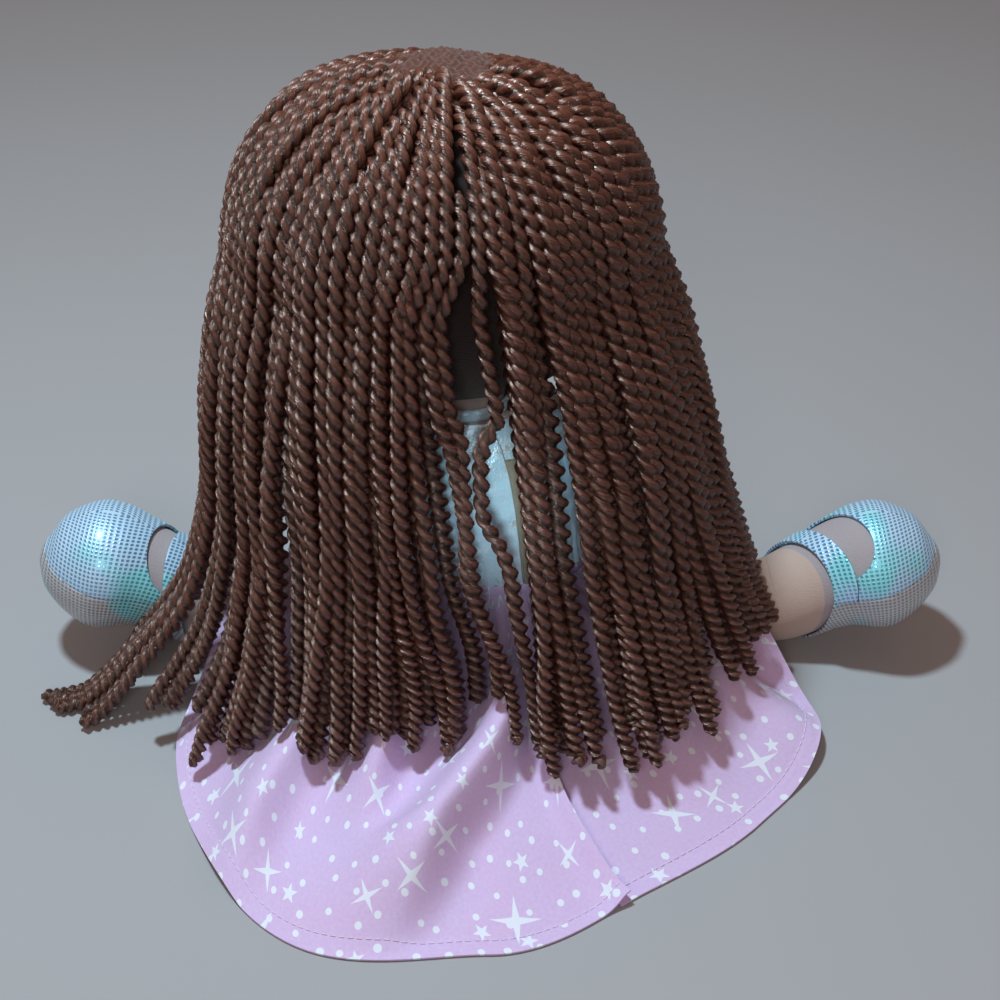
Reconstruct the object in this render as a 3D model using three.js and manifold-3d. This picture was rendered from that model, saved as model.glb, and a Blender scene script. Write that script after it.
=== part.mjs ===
// A seated rag doll with yarn hair, a foil bodice, a cotton skirt and slip-on shoes.
// Millimetres, +Z up. The doll faces -Y and its own left side is +X. The origin is the
// middle of the flat seat, on the surface that the doll sits on.
import * as THREE from 'three';
import { mergeVertices } from 'three/addons/utils/BufferGeometryUtils.js';
import Module from 'manifold-3d';

const wasm = await Module();
wasm.setup();

// Clearances and cloth
const seamGap = 0.3; // between pieces that are sewn or laid against each other
const moveGap = 0.5; // between pieces that turn against each other
const clothThickness = 1.2;
const foilThickness = 1.2;
const overrun = 4; // how far a cutter runs past what it cuts
const weldDistance = 0.0001; // points of one mesh closer than this are the same point

// Torso, a stuffed bag with a flat seat and a flat neck seam.
// Each row: share of the height, share of the half width, share of the half depth.
const torsoHeight = 130;
const torsoHalfWidth = 41;
const torsoHalfDepth = 33;
const torsoSides = 24;
const torsoShares = [
  [0, 0.66, 0.66], [0.045, 0.84, 0.85], [0.14, 0.95, 0.97], [0.26, 1, 1],
  [0.385, 0.97, 0.95], [0.48, 0.93, 0.88], [0.62, 0.94, 0.85], [0.74, 0.95, 0.82],
  [0.85, 0.9, 0.76], [0.925, 0.78, 0.66], [0.975, 0.62, 0.57], [1, 0.49, 0.51],
];

// Neck: a short stuffed post with a ball that the head nods on
const neckRadius = 16;
const neckBallRadius = 18;
const neckPivotRise = 13; // above the neck seam
const collarHeight = 2.4;
const collarWidth = 3.4;

// Head
const headHalfWidth = 68;
const headHalfDepth = 60;
const headHalfHeight = 62;
const headRise = 59; // centre above the nod pivot
const headShift = 17; // centre to the doll's left, because the stuffed trunk leans a little
const headSides = 24;
const headBands = 14;

// Embroidered face
const stitchThickness = 0.9;
const eyeRadius = 5.5;
const eyeSpread = 23; // from the middle to each eye
const eyeDrop = 4; // below the head's centre
const noseRadius = 2.6;
const noseDrop = 15;
const mouthRadius = 15;
const mouthDrop = 13; // the middle of the smile's arc
const mouthStroke = 1.8;
const mouthSweep = 84; // degrees

// Hair cap, the cloth that the yarn is sewn to
const capThickness = 2.6;
const hairlineForward = 40; // from the head's centre to the hairline, at the crown
const hairlineLean = 24; // degrees
const napeDrop = 44; // below the head's centre

// Arms
const shoulderHalfSpan = 40;
const shoulderDrop = 9.5; // below the neck seam
const armRootRadius = 12.5;
const armLength = 74;
const armSplay = 22; // degrees out from straight down
const armShares = [[0, 1], [0.3, 0.94], [0.6, 0.78], [0.7, 0.74], [0.82, 0.86], [0.92, 0.78], [0.98, 0.45]];
const sleeveLength = 27;
const rootStep = 18; // degrees between the rings of a round root
const sweepStep = 15; // degrees between the rings of the space that a leg's root needs
const sleeveCapLatitude = 3 * rootStep; // how far the sleeve reaches over the shoulder

// Legs, splayed out to both sides
const hipHalfSpan = 42;
const hipForward = 10;
const hipHeight = 20.3;
const legRadius = 18.5;
const legShares = [[0, 1], [0.35, 1], [0.7, 0.99], [1, 0.98]];
const ankleReach = 118; // from the middle to the ankle seam
const legForward = 60; // degrees
const legBack = 5; // degrees

// Feet bend up from the ankle. Each row: share of the reach past the ankle seam, share of
// the rise, share of the fullest radius.
const footReach = 72;
const footRise = 25;
const footRadius = 23.6;
const footShares = [
  [0, 0, 0.76], [0.12, 0.08, 0.8], [0.23, 0.25, 0.83], [0.34, 0.45, 0.87], [0.46, 0.63, 0.94],
  [0.6, 0.77, 1.07], [0.73, 0.85, 1.07], [0.865, 0.92, 0.86], [0.945, 0.96, 0.59], [1, 1, 0.2],
];
const instepShare = 0.5; // of the foot's reach, where it is fullest
const instepRiseShare = 0.7;
const footSteps = 12;
const footSides = 16;

// Shoes: a strap that crosses the ankle, a foil upper over the toes, a lens-shaped window
// between them and a sole panel. The two slip-on shoes have turned differently on their feet.
const shoeThickness = 1.6;
const leftCollarReach = 10.5; // from the ankle seam to the middle of the shoe's ankle edge
const rightCollarReach = 14;
const leftCollarTurn = 8; // degrees that the ankle edge is turned about the vertical
const rightCollarTurn = 30;
const strapWidth = 6.8;
const leftWindowHalfLength = 7.5; // from the strap to the upper's edge
const rightWindowHalfLength = 11.9;
const windowHalfWidth = 22.8;
const windowRise = 45.6; // above the ankle's axis
const windowRoll = 37; // degrees that the window's middle is rolled to the back
const soleRise = 5.9; // from the foot's chord up to the sole seam

// Bodice
const bodiceDrop = 0.5; // from the neck seam down to its upper edge
const openingAngle = 20; // degrees from the middle of the back to the dress's opening
const sideSeamAngle = 92; // degrees
const closureWidth = 8;
const closureDrop = 4; // from the bodice's upper edge, besides the strip's own width
const closureThickness = 0.9;

// Waistband and skirt. The hem rows hold, for equal steps from the middle of the back to the
// middle of the front, the share of the hem's reach.
const waistHeight = 57;
const waistbandWidth = 6;
const waistbandThickness = 2.2;
const hemReach = 173;
const leftHemShares = [0.99, 1.05, 0.93, 0.8, 0.615, 0.58, 0.625, 0.625, 0.6];
const rightHemShares = [0.99, 0.885, 0.865, 0.85, 0.615, 0.58, 0.625, 0.625, 0.6];
const skirtColumns = 30;
const skirtRows = 8;
const foldCount = 15;
const foldHeight = 5;
const foldEndShare = 0.87; // of the way to the hem, where the folds are at their flattest again
const foldExponent = 0.7; // how fast the folds rise and flatten
const legTentWidth = 34; // how fast the cloth falls away from the leg on both sides
const legTentLift = 2.9; // over the leg's top
const hangExponent = 1.35; // how steeply the back of the skirt falls
const lapExponent = 1.8; // how late the front of the skirt falls
const drapeExponent = 10; // how closely the cloth follows the higher of slope and leg

// Yarn hair, in locks that hang from the parting to the skirt
const hairThickness = 10.5;
const hairRootRadius = 5;
const hairRootThickness = 3.5; // where the locks leave the parting
const partingLength = 36;
const hairDrop = 176; // from the head's centre down to the ends
const hairSideFlare = 46;
const hairBackFlare = 24;
const hairCornerFlare = 25; // added halfway between the back and the sides
const hairShiftExponent = 0.8; // how fast the hair follows the head's shift with height
const hairLift = 1.3; // between the cap and the locks
const hairEndGap = 2.2; // between the ends and the cloth under them
const hairSpread = 130; // degrees from the middle of the back to the last lock
const lockCount = 26;
const lockFillShare = 0.955; // of each lock's slot
const thinLockShare = 0.42;
const thinLockIndexes = [11, 12]; // the parted place that shows the bodice
const strayLockIndex = 20; // the lock whose ends lie on the floor
const strayFlare = 52;
const strayFillShare = 0.6;
const strayHeight = 2;
const strayExponent = 6; // how late the stray lock bends outwards
const rootTaperShare = 0.5; // of the way over the head, where a lock is at its full thickness
const lockEdgeShare = 0.72; // thickness of a lock's long edges
const headLevels = 6;
const hangLevels = 6;
// Share of the drop and share of the flare there
const flareShares = [[0, 0], [0.17, 0.22], [0.4, 0.42], [0.58, 0.52], [0.85, 0.78], [1, 1]];
const frontHairLift = 18; // how much higher the ends hang in front of the shoulders

// Values that follow from the ones above
const degree = Math.PI / 180;
const headHeight = torsoHeight + neckPivotRise + headRise;
const pivotHeight = torsoHeight + neckPivotRise;
const shoulderHeight = torsoHeight - shoulderDrop;
const leanStart = torsoHeight * torsoShares[5][0]; // the trunk stands straight up to here
const lockSlot = 2 * hairSpread * degree / lockCount;
const waistbandStart = waistHeight - waistbandWidth / 2;
const waistbandEnd = waistHeight + waistbandWidth / 2;
const bodiceStart = waistbandEnd + moveGap;
const bodiceEnd = torsoHeight - bodiceDrop;

// Value of one column of a table of shares, between its rows
function interpolate(rows, place, column) {
  let i = 1;
  while (i < rows.length - 1 && rows[i][0] < place) i += 1;
  const [low, high] = [rows[i - 1], rows[i]];
  const t = THREE.MathUtils.clamp((place - low[0]) / (high[0] - low[0]), 0, 1);
  return THREE.MathUtils.lerp(low[column], high[column], t);
}

// Smooth curve through equally spaced shares, with level ends
function smoothShare(shares, place) {
  const last = shares.length - 1;
  const at = THREE.MathUtils.clamp(place, 0, 1) * last;
  const i = Math.min(Math.floor(at), last - 1);
  const t = at - i;
  const before = shares[Math.abs(i - 1)];
  const after = shares[i + 2 > last ? last - 1 : i + 2];
  const startSlope = (shares[i + 1] - before) / 2;
  const endSlope = (after - shares[i]) / 2;
  const bend = 3 * (shares[i + 1] - shares[i]);
  return shares[i] + startSlope * t + (bend - 2 * startSlope - endSlope) * t * t
    + (startSlope + endSlope - bend * 2 / 3) * t * t * t;
}

// Closed geometry from points and triangles, turned so that it faces out
function closedGeometry(points, triangles) {
  let volume = 0;
  const faces = triangles.filter(([a, b, c]) => a !== b && b !== c && c !== a);
  for (const [a, b, c] of faces) volume += points[a].dot(points[b].clone().cross(points[c]));
  const index = faces.flatMap(([a, b, c]) => (volume < 0 ? [a, c, b] : [a, b, c]));
  return new THREE.BufferGeometry().setFromPoints(points).setIndex(index);
}

// Solid through rings of equally many points, closed by a fan at both ends
function loft(rings) {
  const count = rings[0].length;
  const points = rings.flat();
  const triangles = [];
  for (let r = 0; r < rings.length - 1; r += 1) {
    for (let i = 0; i < count; i += 1) {
      const [a, b] = [r * count + i, r * count + (i + 1) % count];
      triangles.push([a, b, b + count], [a, b + count, a + count]);
    }
  }
  for (const [ring, start] of [[rings[0], 0], [rings.at(-1), (rings.length - 1) * count]]) {
    const middle = ring.reduce((sum, p) => sum.add(p), new THREE.Vector3()).divideScalar(count);
    points.push(middle);
    for (let i = 0; i < count; i += 1) {
      const [a, b] = [start + i, start + (i + 1) % count];
      triangles.push(start === 0 ? [points.length - 1, b, a] : [points.length - 1, a, b]);
    }
  }
  return closedGeometry(points, triangles);
}

// Sheet with thickness between two surfaces over the same grid; a ring closes on itself
function sheet(columns, rows, outer, inner, ring = false) {
  const wide = ring ? columns : columns + 1;
  const points = [];
  for (const surface of [outer, inner]) {
    for (let r = 0; r <= rows; r += 1) {
      for (let c = 0; c < wide; c += 1) points.push(surface(c / columns, r / rows));
    }
  }
  const layer = wide * (rows + 1);
  const at = (c, r, side) => side * layer + r * wide + (ring ? c % wide : c);
  const triangles = [];
  const quad = (a, b, c, d) => triangles.push([a, b, c], [a, c, d]);
  for (let r = 0; r < rows; r += 1) {
    for (let c = 0; c < columns; c += 1) {
      quad(at(c, r, 0), at(c + 1, r, 0), at(c + 1, r + 1, 0), at(c, r + 1, 0));
      quad(at(c, r, 1), at(c, r + 1, 1), at(c + 1, r + 1, 1), at(c + 1, r, 1));
    }
    if (!ring) {
      quad(at(0, r, 0), at(0, r + 1, 0), at(0, r + 1, 1), at(0, r, 1));
      quad(at(columns, r, 0), at(columns, r, 1), at(columns, r + 1, 1), at(columns, r + 1, 0));
    }
  }
  for (let c = 0; c < columns; c += 1) {
    quad(at(c, 0, 0), at(c, 0, 1), at(c + 1, 0, 1), at(c + 1, 0, 0));
    quad(at(c, rows, 0), at(c + 1, rows, 0), at(c + 1, rows, 1), at(c, rows, 1));
  }
  return closedGeometry(points, triangles);
}

// Solid turned about the Z axis from pairs of height and radius
function turned(profile, sides) {
  const lathe = new THREE.LatheGeometry(profile.map(([z, r]) => new THREE.Vector2(r, z)), sides);
  lathe.rotateX(Math.PI / 2);
  return welded(lathe);
}

// Geometry with shared vertices only and no empty triangles
function welded(geometry) {
  const bare = new THREE.BufferGeometry().setAttribute('position', geometry.getAttribute('position'));
  if (geometry.index) bare.setIndex(geometry.index);
  const merged = mergeVertices(bare, weldDistance);
  const place = merged.getAttribute('position');
  const points = [];
  for (let i = 0; i < place.count; i += 1) points.push(new THREE.Vector3().fromBufferAttribute(place, i));
  const triangles = [];
  for (let i = 0; i < merged.index.count; i += 3) {
    triangles.push([merged.index.getX(i), merged.index.getX(i + 1), merged.index.getX(i + 2)]);
  }
  return closedGeometry(points, triangles);
}

function toManifold(geometry) {
  const merged = welded(geometry);
  return new wasm.Manifold(new wasm.Mesh({
    numProp: 3,
    vertProperties: new Float32Array(merged.getAttribute('position').array),
    triVerts: new Uint32Array(merged.index.array),
  }));
}

function fromManifold(solid) {
  const { numProp, vertProperties, triVerts } = solid.getMesh();
  const place = [];
  for (let i = 0; i < vertProperties.length; i += numProp) place.push(...vertProperties.slice(i, i + 3));
  const geometry = new THREE.BufferGeometry();
  geometry.setAttribute('position', new THREE.Float32BufferAttribute(place, 3));
  return geometry.setIndex(Array.from(triVerts));
}

// Largest body of a cut solid
function largest(solid) {
  return solid.decompose().reduce((a, b) => (a.volume() > b.volume() ? a : b));
}

// Box that holds all that lies past a plane, reaching far enough to cut the whole doll
function pastPlane(point, normal) {
  const reach = 4 * hemReach;
  const box = new THREE.BoxGeometry(reach, reach, reach);
  box.translate(0, 0, reach / 2);
  const upwards = new THREE.Vector3(0, 0, 1);
  box.applyQuaternion(new THREE.Quaternion().setFromUnitVectors(upwards, normal.clone().normalize()));
  return toManifold(box.translate(point.x, point.y, point.z));
}

// How far the trunk's middle has shifted to the doll's left at a height
function leanAt(height) {
  return headShift * Math.max(0, (height - leanStart) / (headHeight - leanStart));
}

// Point of the torso's surface moved outwards; angle 0 is the middle of the back
function torsoPoint(angle, height, outwards) {
  const share = height / torsoHeight;
  const halfWidth = torsoHalfWidth * interpolate(torsoShares, share, 1) + outwards;
  const halfDepth = torsoHalfDepth * interpolate(torsoShares, share, 2) + outwards;
  const x = leanAt(height) + halfWidth * Math.sin(angle);
  return new THREE.Vector3(x, halfDepth * Math.cos(angle), height);
}

// Cloth wrapped on the torso between two angles in degrees and two heights; its rows lie at the
// torso's own rings, so that both bend at the same heights
function wrap([fromAngle, toAngle], [low, high], columns, start, thickness) {
  const between = torsoShares.map(([share]) => torsoHeight * share).filter((z) => z > low && z < high);
  const heights = [low, ...between, high];
  const rows = heights.length - 1;
  const surface = (outwards) => (u, v) => torsoPoint(
    THREE.MathUtils.lerp(fromAngle, toAngle, u) * degree, heights[Math.round(v * rows)], outwards);
  return sheet(columns, rows, surface(start + thickness), surface(start), toAngle - fromAngle === 360);
}

// Profile of an arm from the top of its round root to the hand, moved outwards
function armProfile(outwards) {
  const radius = armRootRadius + outwards;
  const rows = [];
  for (let latitude = -90; latitude < 0; latitude += rootStep) {
    rows.push([radius * Math.sin(latitude * degree), radius * Math.cos(latitude * degree)]);
  }
  for (const [reach, share] of armShares) rows.push([armLength * reach, armRootRadius * share + outwards]);
  rows.push([armLength + outwards, 0]);
  return rows;
}

// Shape about the shoulder that a sleeve sweeps as its arm swings, about the X axis
function shoulderSweep(side) {
  const radius = armRootRadius + seamGap + clothThickness + moveGap;
  const slope = Math.tan(armSplay * degree);
  const profile = [];
  for (let step = 0; step <= 3; step += 1) {
    const latitude = -90 + armSplay * step / 3;
    profile.push([radius * Math.sin(latitude * degree), radius * Math.cos(latitude * degree)]);
  }
  const [inner, width] = profile.at(-1);
  const far = armLength;
  profile.push([inner + (far - width) * slope, far], [inner + far * slope + far, far]);
  profile.push([inner + far * slope + far, 0]);
  const sweep = turned(profile, 20).rotateY(Math.PI / 2);
  if (side < 0) sweep.scale(-1, 1, 1);
  return toManifold(sweep.translate(side * shoulderHalfSpan + leanAt(shoulderHeight), 0, shoulderHeight));
}

// Leg from its round root to the ankle seam, moved outwards, along +Z from the hip
function legSolid(length, outwards) {
  const radius = legRadius + outwards;
  const rows = [];
  for (let latitude = -90; latitude < 0; latitude += rootStep) {
    rows.push([radius * Math.sin(latitude * degree), radius * Math.cos(latitude * degree)]);
  }
  for (const [reach, share] of legShares) rows.push([length * reach, legRadius * share + outwards]);
  rows.push([length, 0]);
  return turned(rows, 18);
}

// Turns a solid made along +Z to lie along the splayed leg, swung forward by an angle
function layAlongLeg(geometry, side, forward) {
  geometry.rotateY(Math.PI / 2).rotateZ(-forward * degree);
  if (side < 0) geometry.scale(-1, 1, 1);
  return welded(geometry.translate(side * hipHalfSpan, -hipForward, hipHeight));
}

// Shape that a leg sweeps inside the torso: its round root, the two end places and the fan between
function legSweep(side) {
  const radius = legRadius + moveGap;
  const far = torsoHalfWidth + legRadius;
  const profile = [[-radius, 0]];
  for (let latitude = sweepStep - 90; latitude < 90; latitude += sweepStep) {
    profile.push([radius * Math.sin(latitude * degree), radius * Math.cos(latitude * degree)]);
  }
  profile.push([radius, 0]);
  let sweep = toManifold(layAlongLeg(turned(profile, 20), side, 0));
  for (const forward of [-legBack, legForward]) {
    const place = turned([[0, 0], [0, radius], [far, radius], [far, 0]], 20);
    sweep = sweep.add(toManifold(layAlongLeg(place, side, forward)));
  }
  const fan = new THREE.Shape();
  fan.moveTo(0, 0);
  fan.absarc(0, 0, far, -legForward * degree, legBack * degree, false);
  const slab = new THREE.ExtrudeGeometry(fan, { depth: 2 * radius, bevelEnabled: false, curveSegments: 6 });
  if (side < 0) slab.scale(-1, 1, 1);
  return sweep.add(toManifold(slab.translate(side * hipHalfSpan, -hipForward, hipHeight - radius)));
}

// Foot from the ankle seam to the toes, moved outwards; start lies behind the seam for shoes
function footSolid(side, outwards, start) {
  const line = footShares.map(([reach, rise]) => new THREE.Vector3(
    side * (ankleReach + footReach * reach), -hipForward, hipHeight + footRise * rise));
  const curve = new THREE.CatmullRomCurve3(line, false, 'centripetal');
  const rings = [];
  const across = new THREE.Vector3(0, side, 0);
  for (let step = 0; step <= footSteps; step += 1) {
    const t = step / footSteps;
    const middle = curve.getPoint(t);
    const along = step === 0 ? new THREE.Vector3(side, 0, 0) : curve.getTangent(t);
    const up = along.clone().cross(across);
    const at = t * (footShares.length - 1);
    const low = Math.min(Math.floor(at), footShares.length - 2);
    const share = THREE.MathUtils.lerp(footShares[low][2], footShares[low + 1][2], at - low);
    const radius = footRadius * share + outwards;
    if (step === 0) middle.addScaledVector(along, -start);
    if (step === footSteps) middle.addScaledVector(along, outwards);
    const ring = [];
    for (let i = 0; i < footSides; i += 1) {
      const angle = 2 * Math.PI * i / footSides;
      ring.push(middle.clone().addScaledVector(across, radius * Math.cos(angle))
        .addScaledVector(up, radius * Math.sin(angle)));
    }
    rings.push(ring);
  }
  return loft(rings);
}

// Point above the ankle's axis, seen from the side
function footPlace(side, reach, rise) {
  return new THREE.Vector3(side * (ankleReach + reach), -hipForward, hipHeight + rise);
}

// The three panels of a shoe, cut from one thin shell around the foot
function shoePanels(side, collarReach, collarTurn, windowHalfLength) {
  const shell = toManifold(footSolid(side, seamGap + shoeThickness, overrun))
    .subtract(toManifold(footSolid(side, seamGap, 2 * overrun)));
  const edge = footPlace(side, collarReach, 0);
  const turn = collarTurn * degree;
  const edgeNormal = new THREE.Vector3(side * Math.cos(turn), -Math.sin(turn), 0);
  const worn = shell.intersect(pastPlane(edge, edgeNormal));
  const tilt = new THREE.Vector3(side * footReach, 0, footRise).normalize();
  const below = new THREE.Vector3(side * tilt.z, 0, -Math.abs(tilt.x));
  const soleEdge = footPlace(side, footReach / 2, footRise / 2).addScaledVector(below, -soleRise);
  const sole = worn.intersect(pastPlane(soleEdge, below));
  const upper = worn.subtract(pastPlane(soleEdge.clone().addScaledVector(below, -seamGap), below));
  const strapEnd = edge.clone().addScaledVector(edgeNormal, strapWidth);
  const strap = upper.subtract(pastPlane(strapEnd, edgeNormal));
  const vamp = upper.intersect(pastPlane(strapEnd.clone().addScaledVector(edgeNormal, seamGap), edgeNormal));
  const upwards = new THREE.Vector3(0, 0, 1);
  const roll = windowRoll * degree;
  const level = upwards.clone().cross(edgeNormal).multiplyScalar(side);
  const outward = upwards.clone().multiplyScalar(Math.cos(roll)).addScaledVector(level, Math.sin(roll));
  const around = edgeNormal.clone().cross(outward);
  const lens = new THREE.SphereGeometry(1, 24, 16).scale(windowHalfLength, 2 * footRadius, windowHalfWidth);
  const place = strapEnd.clone().addScaledVector(upwards, windowRise)
    .addScaledVector(level, footRadius * Math.sin(roll));
  lens.applyMatrix4(new THREE.Matrix4().makeBasis(edgeNormal, outward, around).setPosition(place));
  return {
    upper: fromManifold(largest(vamp.subtract(toManifold(lens)))),
    strap: fromManifold(largest(strap)),
    sole: fromManifold(largest(sole)),
  };
}

// Head surface moved outwards
function headSolid(outwards, sides = headSides, bands = headBands) {
  const ball = new THREE.SphereGeometry(1, sides, bands).rotateX(Math.PI / 2);
  ball.scale(headHalfWidth + outwards, headHalfDepth + outwards, headHalfHeight + outwards);
  return toManifold(ball.translate(headShift, 0, headHeight));
}

// Stitched patch that follows the face inside an outline, given about the head's middle
function facePatch(shape, x, drop) {
  const prism = new THREE.ExtrudeGeometry(shape, {
    depth: headHalfDepth + overrun, bevelEnabled: false, curveSegments: 10,
  });
  prism.rotateX(Math.PI / 2).translate(headShift + x, 0, headHeight - drop);
  const shell = headSolid(seamGap + stitchThickness).subtract(headSolid(seamGap));
  return fromManifold(largest(shell.intersect(toManifold(prism))));
}

// Skirt hem reach at a signed angle from the middle of the back; positive is the doll's left
function hemAt(angle) {
  const shares = angle >= 0 ? leftHemShares : rightHemShares;
  return hemReach * smoothShare(shares, Math.abs(angle) / Math.PI);
}

function waistAt(angle) {
  const edge = torsoPoint(Math.PI / 2, waistHeight, waistbandThickness + 3 * seamGap);
  const back = torsoPoint(0, waistHeight, waistbandThickness + 3 * seamGap);
  return 1 / Math.hypot(Math.sin(angle) / edge.x, Math.cos(angle) / back.y);
}

// Height of the skirt's upper face at a signed angle and a share of the way to the hem
function skirtTop(angle, share) {
  const reach = THREE.MathUtils.lerp(waistAt(angle), hemAt(angle), share);
  const [x, y] = [reach * Math.sin(angle), reach * Math.cos(angle)];
  const backward = (1 + Math.cos(angle)) / 2;
  const hanging = (1 - share) ** hangExponent;
  const lying = 1 - share ** lapExponent;
  const base = waistHeight * THREE.MathUtils.lerp(lying, hanging, backward);
  const legTop = hipHeight + legRadius + legTentLift;
  const overLeg = THREE.MathUtils.smoothstep(Math.abs(x), hipHalfSpan / 2, hipHalfSpan);
  const tent = legTop * overLeg * Math.exp(-(((y + hipForward) / legTentWidth) ** 2));
  const draped = (base ** drapeExponent + tent ** drapeExponent) ** (1 / drapeExponent);
  const ripple = (1 + Math.cos(foldCount * angle)) / 2;
  const fold = foldHeight * ripple * Math.sin(Math.PI * Math.min(1, share / foldEndShare)) ** foldExponent;
  return Math.max(clothThickness, draped + fold * (1 - overLeg * tent / legTop));
}

function skirtPoint(angle, share, below) {
  const reach = THREE.MathUtils.lerp(waistAt(angle), hemAt(angle), share);
  return new THREE.Vector3(reach * Math.sin(angle), reach * Math.cos(angle), skirtTop(angle, share) - below);
}

function skirtHalf(from, to) {
  const place = (u, v, below) => skirtPoint(THREE.MathUtils.lerp(from, to, u) * degree, v, below);
  return sheet(skirtColumns, skirtRows, (u, v) => place(u, v, 0), (u, v) => place(u, v, clothThickness));
}

// Height of what the hair's ends rest on, at a place
function restHeight(x, y) {
  const angle = Math.atan2(x, y);
  const reach = Math.hypot(x, y);
  const share = (reach - waistAt(angle)) / (hemAt(angle) - waistAt(angle));
  const cloth = share < 1 ? skirtTop(angle, Math.max(share, 0)) : 0;
  const past = THREE.MathUtils.clamp((Math.abs(x) - ankleReach) / (instepShare * footReach), 0, 1);
  const radius = THREE.MathUtils.lerp(legRadius, footRadius, past);
  const limb = Math.abs(y + hipForward) < radius ? hipHeight + instepRiseShare * footRise * past + radius : 0;
  return Math.max(cloth, limb);
}

// Place in the hair: signed angle from the middle of the back, way down (0 at the parting,
// 1 at the head's widest level, 2 at the ends) and distance out from the head
function hairPlace(angle, way, outwards, end, stray) {
  const halfWidth = headHalfWidth + outwards;
  const halfDepth = headHalfDepth + outwards;
  const spread = Math.abs(angle);
  const aside = Math.max(0, (spread - Math.PI / 2) / (hairSpread * degree - Math.PI / 2));
  if (way <= 1) {
    const ease = Math.sin(way * Math.PI / 2);
    const start = new THREE.Vector2(
      hairRootRadius * (aside > 0 ? Math.sign(angle) : Math.sin(angle)),
      aside > 0 ? -partingLength * aside : hairRootRadius * Math.cos(angle));
    const x = THREE.MathUtils.lerp(start.x, halfWidth * Math.sin(angle), ease);
    const y = THREE.MathUtils.lerp(start.y, halfDepth * Math.cos(angle), ease);
    const rest = 1 - (x / halfWidth) ** 2 - (y / halfDepth) ** 2;
    const z = headHeight + (headHalfHeight + outwards) * Math.sqrt(Math.max(0, rest));
    return new THREE.Vector3(headShift + x, y, z);
  }
  const z = THREE.MathUtils.lerp(headHeight, end, way - 1);
  const shift = headShift * (z / headHeight) ** hairShiftExponent;
  const drop = (headHeight - z) / hairDrop;
  const flare = interpolate(flareShares, drop, 1);
  const strayShare = (headHeight - z) / (headHeight - strayHeight);
  const extra = stray ? strayFlare * Math.max(0, strayShare) ** strayExponent : 0;
  const backFlare = hairBackFlare + hairCornerFlare * Math.max(0, Math.sin(2 * spread));
  const x = shift + (halfWidth + hairSideFlare * flare + extra) * Math.sin(angle);
  const y = (halfDepth + backFlare * flare + extra) * Math.cos(angle);
  return new THREE.Vector3(x, y, z);
}

// Height at which a lock ends, just above what lies under it
function lockEnd(angle, stray) {
  if (stray) return strayHeight;
  const inner = seamGap + capThickness + hairLift;
  const lowest = headHeight - hairDrop;
  const front = Math.max(0, -Math.cos(angle)) * frontHairLift;
  let end = lowest + front;
  for (const outwards of [inner, inner + hairThickness]) {
    for (const slotShare of [-0.5, -0.25, 0, 0.25, 0.5]) {
      const p = hairPlace(angle + slotShare * lockSlot, 2, outwards, end, false);
      end = Math.max(end, restHeight(p.x, p.y) + hairEndGap);
    }
  }
  return end;
}

function hairLock(index) {
  const middle = -hairSpread * degree + lockSlot * (index + 0.5);
  const stray = index === strayLockIndex;
  const end = lockEnd(middle, stray);
  const inner = seamGap + capThickness + hairLift;
  const rings = [];
  for (let level = 0; level <= headLevels + hangLevels; level += 1) {
    const way = level <= headLevels ? level / headLevels : 1 + (level - headLevels) / hangLevels;
    let fill = thinLockIndexes.includes(index) && way > 1 ? thinLockShare : lockFillShare;
    if (stray) fill = THREE.MathUtils.lerp(lockFillShare, strayFillShare, Math.max(0, way - 1));
    const half = lockSlot / 2 * fill;
    const fullness = Math.min(1, way / rootTaperShare);
    const thickness = THREE.MathUtils.lerp(hairRootThickness, hairThickness, fullness);
    const outer = inner + thickness;
    const edge = inner + thickness * lockEdgeShare;
    const section = [[-1, inner], [1, inner], [1, edge], [0, outer], [-1, edge]];
    rings.push(section.map(([share, out]) => hairPlace(middle + half * share, way, out, end, stray)));
  }
  return loft(rings);
}

const fabric = (color, roughness = 0.9, metalness = 0) => (
  new THREE.MeshStandardMaterial({ color, roughness, metalness }));
const skin = () => fabric('#b49a86');
const foil = () => fabric('#9fc6dc', 0.35, 0.4);
const cotton = () => fabric('#d8a3bd');
const yarn = () => fabric('#6d4536', 0.6);

const doll = new THREE.Group();
function add(name, geometry, material) {
  const mesh = new THREE.Mesh(geometry, material);
  mesh.name = name;
  doll.add(mesh);
  return mesh;
}

// Torso, cut clear of both swinging sleeves and both swinging legs
function torsoSolid() {
  const rings = torsoShares.map(([share]) => {
    const ring = [];
    for (let i = 0; i < torsoSides; i += 1) {
      ring.push(torsoPoint(2 * Math.PI * i / torsoSides, torsoHeight * share, 0));
    }
    return ring;
  });
  return toManifold(loft(rings));
}

const shoulders = shoulderSweep(1).add(shoulderSweep(-1));
add('torso', fromManifold(largest(
  torsoSolid().subtract(shoulders).subtract(legSweep(1)).subtract(legSweep(-1)))), skin());

// Neck, collar and head
const neckProfile = [[torsoHeight + seamGap, 0], [torsoHeight + seamGap, neckRadius]];
const neckJoin = Math.asin(neckRadius / neckBallRadius);
for (let step = 0; step <= 6; step += 1) {
  const angle = Math.PI - neckJoin - (Math.PI - neckJoin) * step / 6;
  neckProfile.push([pivotHeight + neckBallRadius * Math.cos(angle), neckBallRadius * Math.sin(angle)]);
}
add('neck', turned(neckProfile, 18).translate(leanAt(pivotHeight), 0, 0), skin());

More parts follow.
